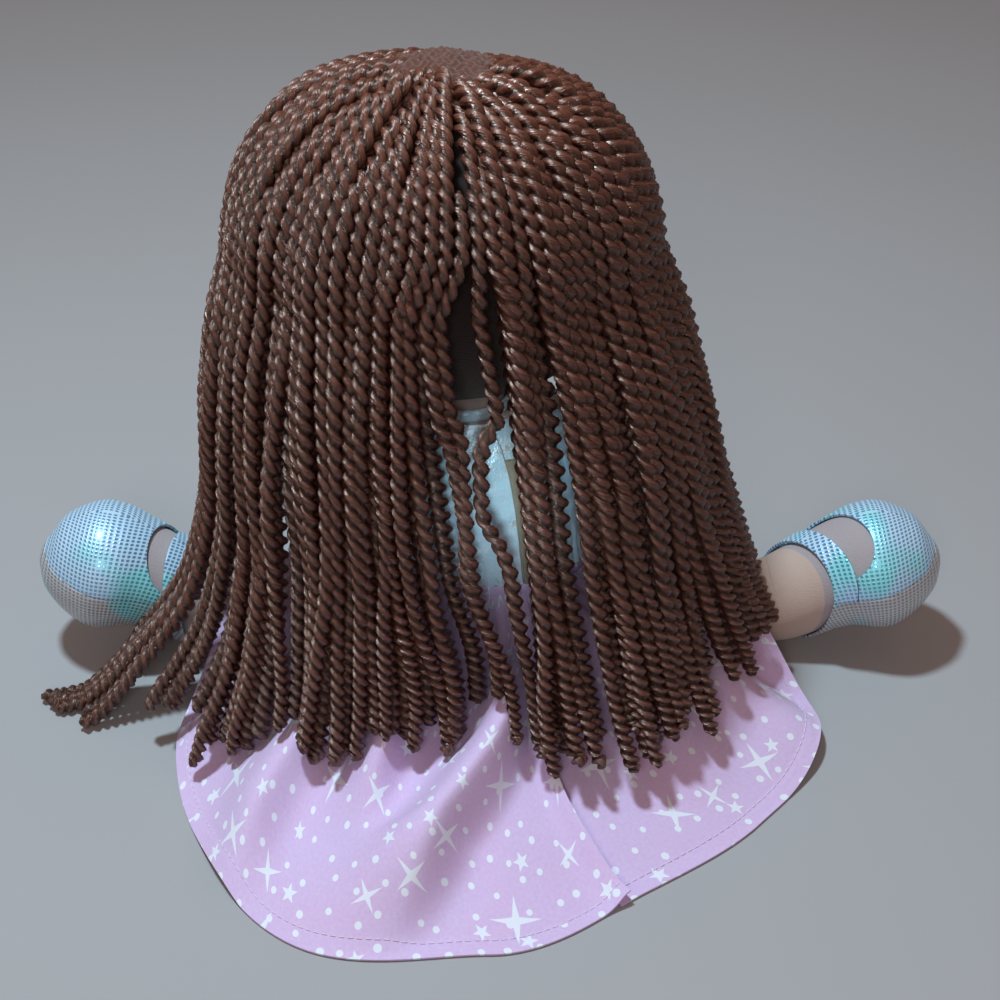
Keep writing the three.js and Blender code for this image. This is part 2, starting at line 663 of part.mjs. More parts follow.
const collarBase = torsoHeight + seamGap;
add('neck_binding', turned([
  [collarBase, neckRadius + seamGap], [collarBase, neckRadius + seamGap + collarWidth],
  [collarBase + collarHeight / 2, neckRadius + seamGap + collarWidth],
  [collarBase + collarHeight, neckRadius + seamGap + collarWidth / 2],
  [collarBase + collarHeight, neckRadius + seamGap], [collarBase, neckRadius + seamGap],
], 20).translate(leanAt(pivotHeight), 0, 0), foil());

const socket = toManifold(new THREE.SphereGeometry(neckBallRadius + 2 * moveGap, 18, 12)
  .translate(leanAt(pivotHeight), 0, pivotHeight));
add('head', fromManifold(largest(headSolid(0).subtract(socket))), skin());

// Embroidered face: round eyes, a small nose and a curved smile
const disc = (radius) => new THREE.Shape().absarc(0, 0, radius, 0, 2 * Math.PI);
for (const [side, name] of [[1, 'left'], [-1, 'right']]) {
  add('eye_' + name, facePatch(disc(eyeRadius), side * eyeSpread, eyeDrop), fabric('#2b1d18', 0.6));
}
add('nose', facePatch(disc(noseRadius), 0, noseDrop), fabric('#a9826c', 0.7));
const half = mouthSweep / 2 * degree;
const smile = new THREE.Shape();
smile.absarc(0, 0, mouthRadius + mouthStroke / 2, -Math.PI / 2 - half, -Math.PI / 2 + half, false);
smile.absarc(0, 0, mouthRadius - mouthStroke / 2, -Math.PI / 2 + half, -Math.PI / 2 - half, true);
add('mouth', facePatch(smile, 0, mouthDrop), fabric('#9c4a4e', 0.7));

// Hair cap over the back and top of the head, ending at the hairline and at the nape
const hairline = new THREE.Vector3(0, -hairlineForward, headHeight + headHalfHeight);
const hairlineNormal = new THREE.Vector3(0, Math.cos(hairlineLean * degree), Math.sin(hairlineLean * degree));
const nape = new THREE.Vector3(0, 0, headHeight - napeDrop);
const capShell = headSolid(seamGap + capThickness).subtract(headSolid(seamGap));
add('hair_cap', fromManifold(largest(capShell
  .intersect(pastPlane(hairline, hairlineNormal))
  .intersect(pastPlane(nape, new THREE.Vector3(0, 0, 1))))), yarn());

for (let index = 0; index < lockCount; index += 1) {
  add('hair_lock_' + String(index + 1).padStart(2, '0'), hairLock(index), yarn());
}

// Arms with short sleeves
for (const [side, name] of [[1, 'left'], [-1, 'right']]) {
  const place = (geometry) => geometry.rotateY(Math.PI - side * armSplay * degree)
    .translate(side * shoulderHalfSpan + leanAt(shoulderHeight), 0, shoulderHeight);
  add('arm_' + name, place(turned(armProfile(0), 16)), skin());
  const sleeve = [];
  for (const outwards of [seamGap + clothThickness, seamGap]) {
    const wall = [];
    for (let latitude = -sleeveCapLatitude; latitude <= 0; latitude += rootStep) {
      const radius = armRootRadius + outwards;
      wall.push([radius * Math.sin(latitude * degree), radius * Math.cos(latitude * degree)]);
    }
    wall.push([sleeveLength, armRootRadius + outwards]);
    sleeve.push(...(outwards > seamGap ? wall : wall.reverse()));
  }
  sleeve.push(sleeve[0]);
  add('sleeve_' + name, place(turned(sleeve, 18)), foil());
}

// Legs, feet and shoes
for (const [side, name] of [[1, 'left'], [-1, 'right']]) {
  const leg = layAlongLeg(legSolid(ankleReach - hipHalfSpan - seamGap, 0), side, 0);
  add('leg_' + name, leg, skin());
  add('foot_' + name, footSolid(side, 0, 0), fabric('#a89aa4'));
  const panels = side > 0 ? shoePanels(side, leftCollarReach, leftCollarTurn, leftWindowHalfLength)
    : shoePanels(side, rightCollarReach, rightCollarTurn, rightWindowHalfLength);
  add('shoe_upper_' + name, panels.upper, foil());
  add('shoe_strap_' + name, panels.strap, foil());
  add('shoe_sole_' + name, panels.sole, foil());
}

// Bodice panels between the waist and the neck, cut clear of the sleeves
function bodicePanel(from, to, columns) {
  const panel = wrap([from, to], [bodiceStart, bodiceEnd], columns, seamGap, foilThickness);
  return fromManifold(largest(toManifold(panel).subtract(shoulders)));
}

const seamAngle = seamGap / torsoHalfWidth / degree;
add('bodice_back_left', bodicePanel(-openingAngle + seamAngle, sideSeamAngle - seamAngle, 14), foil());
add('bodice_back_right', bodicePanel(-sideSeamAngle + seamAngle, -openingAngle - seamAngle, 10), foil());
add('bodice_front', bodicePanel(sideSeamAngle + seamAngle, 360 - sideSeamAngle - seamAngle, 20), foil());

// Touch-close strips on the two sides of the back opening
function closureStrip(layer) {
  const start = foilThickness + 2 * seamGap + layer * (closureThickness + seamGap);
  const wide = closureWidth / torsoHalfDepth / degree;
  return wrap([-openingAngle - wide, -openingAngle],
    [bodiceStart + seamGap, bodiceEnd - closureWidth - closureDrop], 3, start, closureThickness);
}

add('closure_loop_strip', closureStrip(0), fabric('#c9b79a'));
add('closure_hook_strip', closureStrip(1), fabric('#c9b79a'));

// Waistband over the seam of bodice and skirt
add('waistband', wrap([0, 360], [waistbandStart, waistbandEnd], 36, seamGap, waistbandThickness), cotton());

// Skirt in two halves that part at the back opening and join at the middle of the front
add('skirt_left', skirtHalf(-openingAngle + seamAngle, 180 - seamAngle), cotton());
add('skirt_right', skirtHalf(-180 + seamAngle, -openingAngle - seamAngle), cotton());

export default doll;
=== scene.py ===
# A seated rag doll: twisted yarn hair, foil bodice and shoes, printed cotton skirt and
# stuffed knit limbs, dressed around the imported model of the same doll.
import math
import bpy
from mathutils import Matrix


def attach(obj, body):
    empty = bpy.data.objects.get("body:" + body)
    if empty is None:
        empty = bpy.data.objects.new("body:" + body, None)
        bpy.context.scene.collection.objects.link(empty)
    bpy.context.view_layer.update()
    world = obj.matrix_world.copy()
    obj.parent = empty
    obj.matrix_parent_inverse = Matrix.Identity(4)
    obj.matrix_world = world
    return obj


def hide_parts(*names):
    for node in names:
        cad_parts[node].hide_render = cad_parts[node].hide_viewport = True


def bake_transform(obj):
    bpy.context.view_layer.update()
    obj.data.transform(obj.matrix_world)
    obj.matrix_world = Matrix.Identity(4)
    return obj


bl_info = {
    "name": "Seated Rag Doll",
    "version": (1, 0, 0),
    "blender": (4, 5, 0),
    "location": "View3D > Sidebar > Rag Doll",
    "description": "Yarn hair, foil, printed cotton and stuffed knit for a seated rag doll",
    "category": "Add Mesh",
}

import bmesh
import bpy
import numpy as np
from mathutils import Matrix, Vector

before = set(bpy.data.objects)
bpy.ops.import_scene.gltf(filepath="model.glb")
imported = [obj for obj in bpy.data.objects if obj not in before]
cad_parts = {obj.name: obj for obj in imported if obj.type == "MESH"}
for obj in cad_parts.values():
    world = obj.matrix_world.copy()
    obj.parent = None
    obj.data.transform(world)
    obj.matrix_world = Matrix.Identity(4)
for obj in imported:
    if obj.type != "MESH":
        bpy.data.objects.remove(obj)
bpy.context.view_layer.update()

MM = 0.001
UP = np.array([0.0, 0.0, 1.0])

SIDES = ((1, "left"), (-1, "right"))

# The doll's pattern, in millimetres; the same sizes as its solids
TORSO_HEIGHT, TORSO_HALF_WIDTH, TORSO_HALF_DEPTH = 130.0, 41.0, 33.0
TORSO_ROWS = np.array([
    [0, 0.66, 0.66], [0.045, 0.84, 0.85], [0.14, 0.95, 0.97], [0.26, 1, 1], [0.385, 0.97, 0.95],
    [0.48, 0.93, 0.88], [0.62, 0.94, 0.85], [0.74, 0.95, 0.82], [0.85, 0.9, 0.76],
    [0.925, 0.78, 0.66], [0.975, 0.62, 0.57], [1, 0.49, 0.51]])
SEAM_GAP = 0.3
PIVOT_HEIGHT, HEAD_HEIGHT = 143.0, 202.0
HEAD_HALF_WIDTH, HEAD_HALF_DEPTH, HEAD_HALF_HEIGHT = 68.0, 60.0, 62.0
SOCKET_RADIUS, NECK_RADIUS, NECK_BALL_RADIUS = 19.0, 16.0, 18.0
CAP_THICKNESS, HAIRLINE_FORWARD, HAIRLINE_LEAN, NAPE_DROP = 2.6, 40.0, 24.0, 44.0
SHOULDER_HALF_SPAN, SHOULDER_HEIGHT, ARM_RADIUS, ARM_SPLAY = 40.0, 120.5, 12.5, 22.0
SLEEVE_LENGTH = 27.0
HIP_HALF_SPAN, HIP_FORWARD, HIP_HEIGHT, LEG_RADIUS = 42.0, 10.0, 20.3, 18.5
ANKLE_REACH, FOOT_REACH, FOOT_RISE, FOOT_RADIUS = 118.0, 72.0, 25.0, 23.6
FOOT_ROWS = np.array([
    [0, 0, 0.76], [0.12, 0.08, 0.8], [0.23, 0.25, 0.83], [0.34, 0.45, 0.87], [0.46, 0.63, 0.94],
    [0.6, 0.77, 1.07], [0.73, 0.85, 1.07], [0.865, 0.92, 0.86], [0.945, 0.96, 0.59], [1, 1, 0.2]])
INSTEP_SHARE, INSTEP_RISE_SHARE = 0.5, 0.7
# For the left and the right shoe: the ankle edge's reach past the ankle seam, its turn in
# degrees, and the length of the window
COLLARS = {1: (10.5, 8.0, 7.5), -1: (14.0, 30.0, 11.9)}
STRAP_WIDTH, SOLE_RISE = 6.8, 5.9
SHOE_ROOM, SHOE_THICKNESS, PANEL_GAP = 1.6, 1.2, 0.2
WINDOW_HALF_WIDTH, WINDOW_RISE, WINDOW_ROLL = 22.8, 45.6, 37.0
FOIL_ROOM, TAPE_LAYER = 1.2, 1.2
BINDING_MIDDLE, BINDING_RISE, BINDING_OUT, BINDING_BULGE = 2.85, 2.75, 1.7, 1.6
BODICE_START, BODICE_END, OPENING_ANGLE, SIDE_SEAM_ANGLE = 60.5, 129.5, 20.0, 92.0
WAIST_HEIGHT, WAISTBAND_WIDTH, WAISTBAND_THICKNESS = 57.0, 6.0, 2.2
HEM_REACH = 173.0
LEFT_HEM = [0.99, 1.05, 0.93, 0.8, 0.615, 0.58, 0.625, 0.625, 0.6]
RIGHT_HEM = [0.99, 0.885, 0.865, 0.85, 0.615, 0.58, 0.625, 0.625, 0.6]
HAIR_SPREAD, PARTING_LENGTH, HAIR_DROP, HAIR_ROOT_RADIUS = 130.0, 36.0, 176.0, 5.0
HAIR_SIDE_FLARE, HAIR_BACK_FLARE, HAIR_CORNER_FLARE, FRONT_HAIR_LIFT = 46.0, 24.0, 25.0, 18.0
STRAY_ANGLE, STRAY_HALF_WIDTH, STRAY_FLARE = 75.0, 8.0, 52.0
HEAD_SHIFT, LEAN_START = 17.0, 62.4
FLARE_DROPS = [0, 0.17, 0.4, 0.58, 0.85, 1]
FLARE_SHARES = [0, 0.22, 0.42, 0.52, 0.78, 1]


# ---- small helpers
def linear(code):
    """Linear RGBA of an sRGB hex colour."""
    parts = [int(code[i:i + 2], 16) / 255 for i in (1, 3, 5)]
    return tuple(c / 12.92 if c <= 0.04045 else ((c + 0.055) / 1.055) ** 2.4
                 for c in parts) + (1.0,)


def lerp(a, b, t):
    return a + (b - a) * t


def smoothstep(value, low, high):
    t = np.clip((value - low) / (high - low), 0, 1)
    return t * t * (3 - 2 * t)


def bump(value, width):
    """Round hump of height one about zero."""
    return np.exp(-(value / width) ** 2)


def rounded(shares, place):
    """Smooth curve through equally spaced shares, with level ends."""
    values = np.array(shares, float)
    last = len(values) - 1
    at = np.clip(place, 0, 1) * last
    i = np.minimum(at.astype(int), last - 1)
    t = at - i
    here, there = values[i], values[i + 1]
    start = (there - values[np.abs(i - 1)]) / 2
    end = (values[np.where(i + 2 > last, last - 1, i + 2)] - here) / 2
    bend = 3 * (there - here)
    return here + start * t + (bend - 2 * start - end) * t ** 2 + (
        start + end - bend * 2 / 3) * t ** 3


def catmull(points, places):
    """Smooth curve through points, at places counted in steps between them."""
    p = np.vstack([2 * points[0] - points[1], points, 2 * points[-1] - points[-2]])
    i = np.clip(places.astype(int), 0, len(points) - 2)
    t = (places - i)[:, None]
    a, b, c, d = p[i], p[i + 1], p[i + 2], p[i + 3]
    return 0.5 * (2 * b + (c - a) * t + (2 * a - 5 * b + 4 * c - d) * t ** 2
                  + (3 * b - a - 3 * c + d) * t ** 3)


def unit(vectors):
    return vectors / np.maximum(np.linalg.norm(vectors, axis=-1, keepdims=True), 1e-12)


def sampled(path, along, places):
    """Points of a path at places along it."""
    return np.stack([np.interp(places, along, path[:, i]) for i in range(3)], axis=-1)


def lengths_along(path):
    """Distance along a path, from its start to each of its points."""
    return np.concatenate([[0], np.cumsum(np.linalg.norm(np.diff(path, axis=0), axis=1))])


def all_round(step):
    """Angles all round, in radians, a step in degrees apart."""
    return np.radians(np.arange(0, 360, step))


def only(piece):
    """Selects one piece and makes it active."""
    bpy.ops.object.select_all(action="DESELECT")
    piece.select_set(True)
    bpy.context.view_layer.objects.active = piece


def apply_modifier(piece, kind, **settings):
    """Adds a modifier with its settings and makes its result the mesh."""
    only(piece)
    modifier = piece.modifiers.new(kind.title(), kind)
    for key, value in settings.items():
        setattr(modifier, key, value)
    bpy.ops.object.modifier_apply(modifier=modifier.name)


def smooth_shade(piece, angle=None):
    """Smooth shading, but for edges past an angle in degrees where one is given."""
    only(piece)
    if angle is None:
        bpy.ops.object.shade_smooth()
    else:
        bpy.ops.object.shade_smooth_by_angle(angle=math.radians(angle))


def new_piece(name, vertices, faces, uvs=None):
    """Mesh object from points in millimetres and faces, with a UV in metres per vertex."""
    mesh = bpy.data.meshes.new(name)
    mesh.from_pydata((np.asarray(vertices) * MM).tolist(), [], faces)
    mesh.validate()
    if uvs is not None:
        layer = mesh.uv_layers.new(name="Cloth")
        corner = np.empty(len(mesh.loops), np.int32)
        mesh.loops.foreach_get("vertex_index", corner)
        layer.data.foreach_set("uv", (np.asarray(uvs)[corner] * MM).astype(np.float32).ravel())
    piece = bpy.data.objects.new(name, mesh)
    bpy.context.scene.collection.objects.link(piece)
    smooth_shade(piece)
    return piece


def grid_faces(rows, columns, ring=False):
    """Faces between the points of a grid, counted by rows; a ring closes each row."""
    faces = []
    for r in range(rows - 1):
        for c in range(columns if ring else columns - 1):
            a, b = r * columns + c, r * columns + (c + 1) % columns
            faces.append((a, b, b + columns, a + columns))
    return faces


def grid_piece(name, points, uvs=None, ring=False):
    """Open sheet through a grid of points, rows by columns."""
    rows, columns = points.shape[:2]
    flat = None if uvs is None else uvs.reshape(-1, 2)
    return new_piece(name, points.reshape(-1, 3), grid_faces(rows, columns, ring), flat)


def cut_piece(name, points, keep, uvs=None, ring=False):
    """Open sheet through the part of a grid where keep is true."""
    rows, columns = keep.shape
    flat = keep.ravel()
    faces = [face for face in grid_faces(rows, columns, ring) if all(flat[k] for k in face)]
    used = sorted({k for face in faces for k in face})
    index = {k: i for i, k in enumerate(used)}
    return new_piece(name, points.reshape(-1, 3)[used],
                     [tuple(index[k] for k in face) for face in faces],
                     None if uvs is None else uvs.reshape(-1, 2)[used])


def face_out(piece):
    """Joins doubled points and turns all faces of a closed mesh outwards."""
    mesh = bmesh.new()
    mesh.from_mesh(piece.data)
    bmesh.ops.remove_doubles(mesh, verts=mesh.verts, dist=2e-6)
    bmesh.ops.recalc_face_normals(mesh, faces=mesh.faces)
    mesh.to_mesh(piece.data)
    mesh.free()


def thicken(piece, thickness, crease=None, bevel=0.0):
    """Gives a sheet its thickness, inwards from its face, and may round its edges and keep
    those past the crease angle sharp."""
    apply_modifier(piece, "SOLIDIFY", thickness=thickness * MM, offset=-1.0,
                   use_even_offset=False, use_rim=True)
    if bevel:
        apply_modifier(piece, "BEVEL", width=bevel * MM, segments=2, limit_method="ANGLE",
                       angle_limit=math.radians(50))
    if crease:
        smooth_shade(piece, crease)


def ball(name, segments, rings):
    """Ball of radius one about the origin."""
    bpy.ops.object.select_all(action="DESELECT")
    bpy.ops.mesh.primitive_uv_sphere_add(segments=segments, ring_count=rings, radius=1,
                                         location=(0, 0, 0))
    piece = bpy.context.object
    piece.name = piece.data.name = name
    return piece


def stuffed_copy(name, node, voxel, rounds):
    """Stuffed bag: a solid of the frame, remeshed at a voxel's size and smoothed in rounds."""
    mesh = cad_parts[node].data.copy()
    mesh.materials.clear()
    piece = bpy.data.objects.new(name, mesh)
    bpy.context.scene.collection.objects.link(piece)
    face_out(piece)
    apply_modifier(piece, "REMESH", mode="VOXEL", voxel_size=voxel * MM)
    apply_modifier(piece, "SMOOTH", factor=0.5, iterations=rounds)
    smooth_shade(piece)
    return piece


def dimples(points, seed, size, depth):
    """Soft random hollows of stuffed cloth of about a size, as depths, in millimetres."""
    rng = np.random.default_rng(seed)
    total = np.zeros(len(points))
    for _ in range(5):
        direction = unit(rng.normal(size=3))
        total += np.sin(points @ direction * (2 * math.pi / (size * rng.uniform(0.7, 1.4)))
                        + rng.uniform(0, 6.28))
    return depth * total / 5


def push_along_normals(piece, depths):
    """Moves each point of a piece out along its normal, by millimetres."""
    mesh = piece.data
    count = len(mesh.vertices)
    place, normal = np.empty(count * 3), np.empty(count * 3)
    mesh.vertices.foreach_get("co", place)
    mesh.vertices.foreach_get("normal", normal)
    moved = place.reshape(-1, 3) + normal.reshape(-1, 3) * (depths * MM)[:, None]
    mesh.vertices.foreach_set("co", moved.ravel())
    mesh.update()


def points_of(piece):
    """A mesh's points, in millimetres."""
    place = np.empty(len(piece.data.vertices) * 3)
    piece.data.vertices.foreach_get("co", place)
    return place.reshape(-1, 3) / MM


def dress(piece, material, body, slot, *nodes):
    """Material, body, material slot (not used) and the solids that a piece stands for."""
    piece.data.materials.clear()
    piece.data.materials.append(material)
    if body:
        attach(piece, body)
    if nodes:
        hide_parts(*nodes)


def stitch_row(name, path, normals, length, gap, thickness):
    """Row of thread stitches along a path in millimetres, each a small rounded bar."""
    along = lengths_along(path)
    count = max(1, int(along[-1] // (length + gap)))
    pitch = along[-1] / count
    vertices, faces = [], []
    # Each ring of a stitch: its place as a share of the length, and its share of the thickness
    sides, rings = 6, [(-0.5, 0.25), (-0.38, 0.85), (0, 1.0), (0.38, 0.85), (0.5, 0.25)]

    def at(where):
        where = min(max(where, 0), along[-1])
        return sampled(path, along, where), unit(sampled(normals, along, where))

    for k in range(count):
        middle = (k + 0.5) * pitch
        ahead, back = at(middle + length / 2)[0], at(middle - length / 2)[0]
        direction = unit(ahead - back)
        base = len(vertices)
        for share, wide in rings:
            centre, normal = at(middle + share * length)
            across = unit(np.cross(direction, normal))
            lift = thickness * 0.45 * (wide - 0.25)
            for s in range(sides):
                turn = 2 * math.pi * s / sides
                vertices.append(centre + normal * (lift + math.sin(turn) * thickness * wide / 2)
                                + across * (math.cos(turn) * thickness * wide / 2))
        for r in range(len(rings) - 1):
            for s in range(sides):
                a, b = base + r * sides + s, base + r * sides + (s + 1) % sides
                faces.append((a, b, b + sides, a + sides))
        faces.append(tuple(base + s for s in reversed(range(sides))))
        faces.append(tuple(base + (len(rings) - 1) * sides + s for s in range(sides)))
    piece = new_piece(name, vertices, faces)
    face_out(piece)
    return piece


# ---- sizes and colours that a user may change
def length_size(name, description, default):
    return bpy.props.FloatProperty(name=name, description=description, default=default,
                                   min=0.0, unit="LENGTH", precision=5)


def shade(name, description, code):
    return bpy.props.FloatVectorProperty(name=name, description=description, size=4,
                                         subtype="COLOR", min=0.0, max=1.0,
                                         default=linear(code))


class DollSizes(bpy.types.PropertyGroup):
    yarn_width: length_size("Yarn width", "Diameter of one two-ply strand of hair", 0.0064)
    yarn_pitch: length_size("Yarn pitch", "Length of one full turn of the plies", 0.0120)
    strands: bpy.props.IntProperty(
        name="Strands", description="Strands of hair in the outer layer", default=66)
    knit_pitch: length_size("Knit pitch", "Spacing of the ribs of the skin's knit", 0.0007)
    weave_pitch: length_size("Weave pitch", "Spacing of the threads of the cotton", 0.00042)
    dot_pitch: length_size("Dot pitch", "Spacing of the foil dots on the shoes", 0.00178)
    star_spacing: length_size("Star spacing", "Spacing of the large printed stars", 0.034)
    hem_depth: length_size("Hem depth", "Depth of the turned-up hem", 0.006)
    stitch_length: length_size("Stitch length", "Length of one hem stitch", 0.0024)
    cotton_thickness: length_size("Cotton thickness", "Thickness of the skirt's cloth", 0.0007)
    foil_thickness: length_size("Foil thickness", "Thickness of the foil cloth", 0.0009)


class DollColours(bpy.types.PropertyGroup):
    skin: shade("Skin", "Brushed knit of the body, head and limbs", "#dcc7bc")
    skin_fold: shade("Skin shade", "Deeper tone of the brushed knit", "#8d6c5c")
    # The foot's greyish lilac is painted cool light on the skin-coloured knit
    foot: shade("Foot", "Knit of the feet, inside the shoes", "#b0a6aa")
    yarn: shade("Yarn", "Redder strands of the hair", "#35110a")
    yarn_dark: shade("Grey yarn", "Greyer strands of the hair", "#1a0b07")
    yarn_light: shade("Light yarn", "Rubbed yarn at the crown and loose fibres", "#874f3e")
    felt: shade("Felt", "Yarn rubbed to felt at the crown", "#6e483b")
    cap: shade("Cap", "Knit cap under the hair", "#1c110d")
    foil: shade("Foil", "Light blue foil cloth of the bodice", "#d6f2ff")
    foil_beige: shade("Beige foil", "Bodice where the foil has rubbed off", "#bdb5a2")
    shoe: shade("Shoe", "Foil cloth of the shoes between its dots", "#c2e4fb")
    shoe_dot: shade("Shoe dots", "Mirror dots of the shoes", "#7cb2e2")
    # The sole's greyer foil and dots are painted shade and floor reflection on the upper's foil
    sole: shade("Sole", "Foil cloth under the shoes", "#c6cdd4")
    cotton: shade("Cotton", "Ground colour of the skirt", "#cdbdea")
    # The warmer skirt tone is painted warm shade of the folds, laid in random patches
    cotton_painted_shade: shade("Cotton shade", "Warmer tone of the skirt's ground", "#d3b2dc")
    stars: shade("Print", "Printed stars and dots", "#e4eefa")
    tape: shade("Tape", "Touch-close tape of the back opening", "#ab9c84")
    thread: shade("Thread", "Sewing thread of hems and seams", "#d9c6e4")
    eye: shade("Eyes", "Embroidery thread of the eyes", "#2b1d18")
    nose: shade("Nose", "Embroidery thread of the nose", "#9a7461")
    mouth: shade("Mouth", "Embroidery thread of the mouth", "#9c4a4e")
    floor: shade("Floor", "Plain studio floor", "#a9aaad")


def sizes():
    return bpy.context.scene.rag_doll_sizes


def colours():
    return bpy.context.scene.rag_doll_colours


# ---- materials
# A wave texture of scale 1 has a band every 0.314 m
WAVE_BAND = 0.314
# Reach of the notches between a star's tips, as a share of its tips' reach, by number of tips
STAR_NOTCHES = {4: 0.2, 5: 0.42}


def add_node(tree, kind, settings=None, links=None):
    """Adds a node. Settings are its attributes or inputs; links say what feeds its inputs:
    another node, by its first output in use, or one of a node's outputs."""
    node = tree.nodes.new("ShaderNode" + kind)
    for key, value in (settings or {}).items():
        if isinstance(key, str) and hasattr(node, key):
            setattr(node, key, value)
        else:
            node.inputs[key].default_value = value
    for key, source in (links or {}).items():
        if isinstance(source, bpy.types.Node):
            source = next(output for output in source.outputs if output.enabled)
        tree.links.new(source, node.inputs[key])
    return node


def material_of(pattern):
    """Makes a pattern, which gives the shader's settings and links, into a named material
    that is built the first time it is asked for."""
    def give(name, *rest):
        material = bpy.data.materials.get(name)
        if material is None:
            material = bpy.data.materials.new(name)
            material.use_nodes = True
            tree = material.node_tree
            tree.nodes.clear()
            shader = add_node(tree, "BsdfPrincipled", *pattern(tree, *rest))
            add_node(tree, "OutputMaterial", links={"Surface": shader})
        return material
    return give


def jersey_pattern(tree, light, dark):
    """Brushed polyester jersey: a raised, matt nap that blurs the knit's fine ribs."""
    place = add_node(tree, "TexCoord").outputs["Object"]
    ribs = add_node(tree, "TexWave", {
        "wave_type": "BANDS", "bands_direction": "Z", "Scale": WAVE_BAND / sizes().knit_pitch,
        "Distortion": 6.0, "Detail": 2.0, "Detail Scale": 3.0}, {"Vector": place})
    nap = add_node(tree, "TexNoise", {"Scale": 900.0, "Detail": 4.0}, {"Vector": place})
    patches = add_node(tree, "TexNoise", {"Scale": 45.0, "Detail": 3.0}, {"Vector": place})
    spread = add_node(tree, "Math", {"operation": "MULTIPLY_ADD", 1: 0.45, 2: -0.02},
                      {0: patches})
    fine = add_node(tree, "Math", {"operation": "MULTIPLY_ADD", 1: 0.28}, {0: nap, 2: spread})
    mix = add_node(tree, "Mix", {"data_type": "RGBA", 6: light, 7: dark}, {0: fine})
    height = add_node(tree, "Math", {"operation": "MULTIPLY_ADD", 1: 0.5},
                      {0: nap, 2: ribs.outputs[1]})
    relief = add_node(tree, "Bump", {"Strength": 0.35, "Distance": 0.00025}, {"Height": height})
    return {"Roughness": 0.92, "Specular IOR Level": 0.25, "Sheen Weight": 0.25,
            "Sheen Roughness": 0.6}, {"Base Color": mix, "Normal": relief}


brushed_knit = material_of(jersey_pattern)


@material_of
def ankle_knit(tree, side):
    """The skin's jersey as far as the shoe, and inside it the foot's knit in a greyer lilac,
    which is painted cool light on the skin-coloured knit.
    """
    c = colours()
    settings, links = jersey_pattern(tree, c.foot, [v * 0.82 for v in c.foot])
    edge, normal = shoe_places(side)[:2]
    start = edge - normal * 1.6
    place = add_node(tree, "TexCoord").outputs["Object"]
    away = add_node(tree, "VectorMath", {"operation": "DOT_PRODUCT", 1: tuple(normal)},
                    {0: place})
    past = add_node(tree, "Math", {"operation": "GREATER_THAN", 1: float(start @ normal) * MM},
                    {0: away})
    skin_tone = [lerp(a, b, 0.35) for a, b in zip(c.skin, c.skin_fold)]
    links["Base Color"] = add_node(tree, "Mix", {"data_type": "RGBA", 6: skin_tone},
                                   {0: past, 7: links["Base Color"]})
    return settings, links


@material_of
def twisted_yarn(tree):
    """Bright acrylic yarn: each ply's fibres run along it and catch long, soft lights."""
    c = colours()
    fibre, grain, place = (
        add_node(tree, "Attribute", {"attribute_name": name}).outputs["Vector"]
        for name in ("fibre", "grain", "tone"))
    tone = add_node(tree, "SeparateXYZ", links={0: place})
    fibres = add_node(tree, "TexNoise", {"Scale": 1.0, "Detail": 3.0, "Roughness": 0.6},
                      {"Vector": grain})
    strand = add_node(tree, "Mix", {"data_type": "RGBA", 6: c.yarn_dark, 7: c.yarn}, {0: tone})
    streak = add_node(tree, "MapRange", {"From Min": 0.3, "From Max": 0.75, "To Min": 0.0,
                                         "To Max": 0.75}, {"Value": fibres})
    # Light streaks, then lighter towards the crown, then painted shade in the groove between the
    # plies, deeper on the inner layer
    colour = strand
    for tint, share in ((c.yarn_light, streak), (c.yarn_light, tone.outputs[1]),
                        ((0.009, 0.003, 0.002, 1), tone.outputs[2])):
        colour = add_node(tree, "Mix", {"data_type": "RGBA", 7: tint}, {0: share, 6: colour})
    relief = add_node(tree, "Bump", {"Strength": 1.0, "Distance": 0.0011}, {"Height": fibres})
    return {"Roughness": 0.35, "IOR": 1.7, "Specular IOR Level": 1.0,
            "Specular Tint": (1.0, 0.78, 0.69, 1), "Anisotropic": 0.6,
            "Anisotropic Rotation": 0.25}, {"Base Color": colour, "Normal": relief,
                                            "Tangent": fibre}


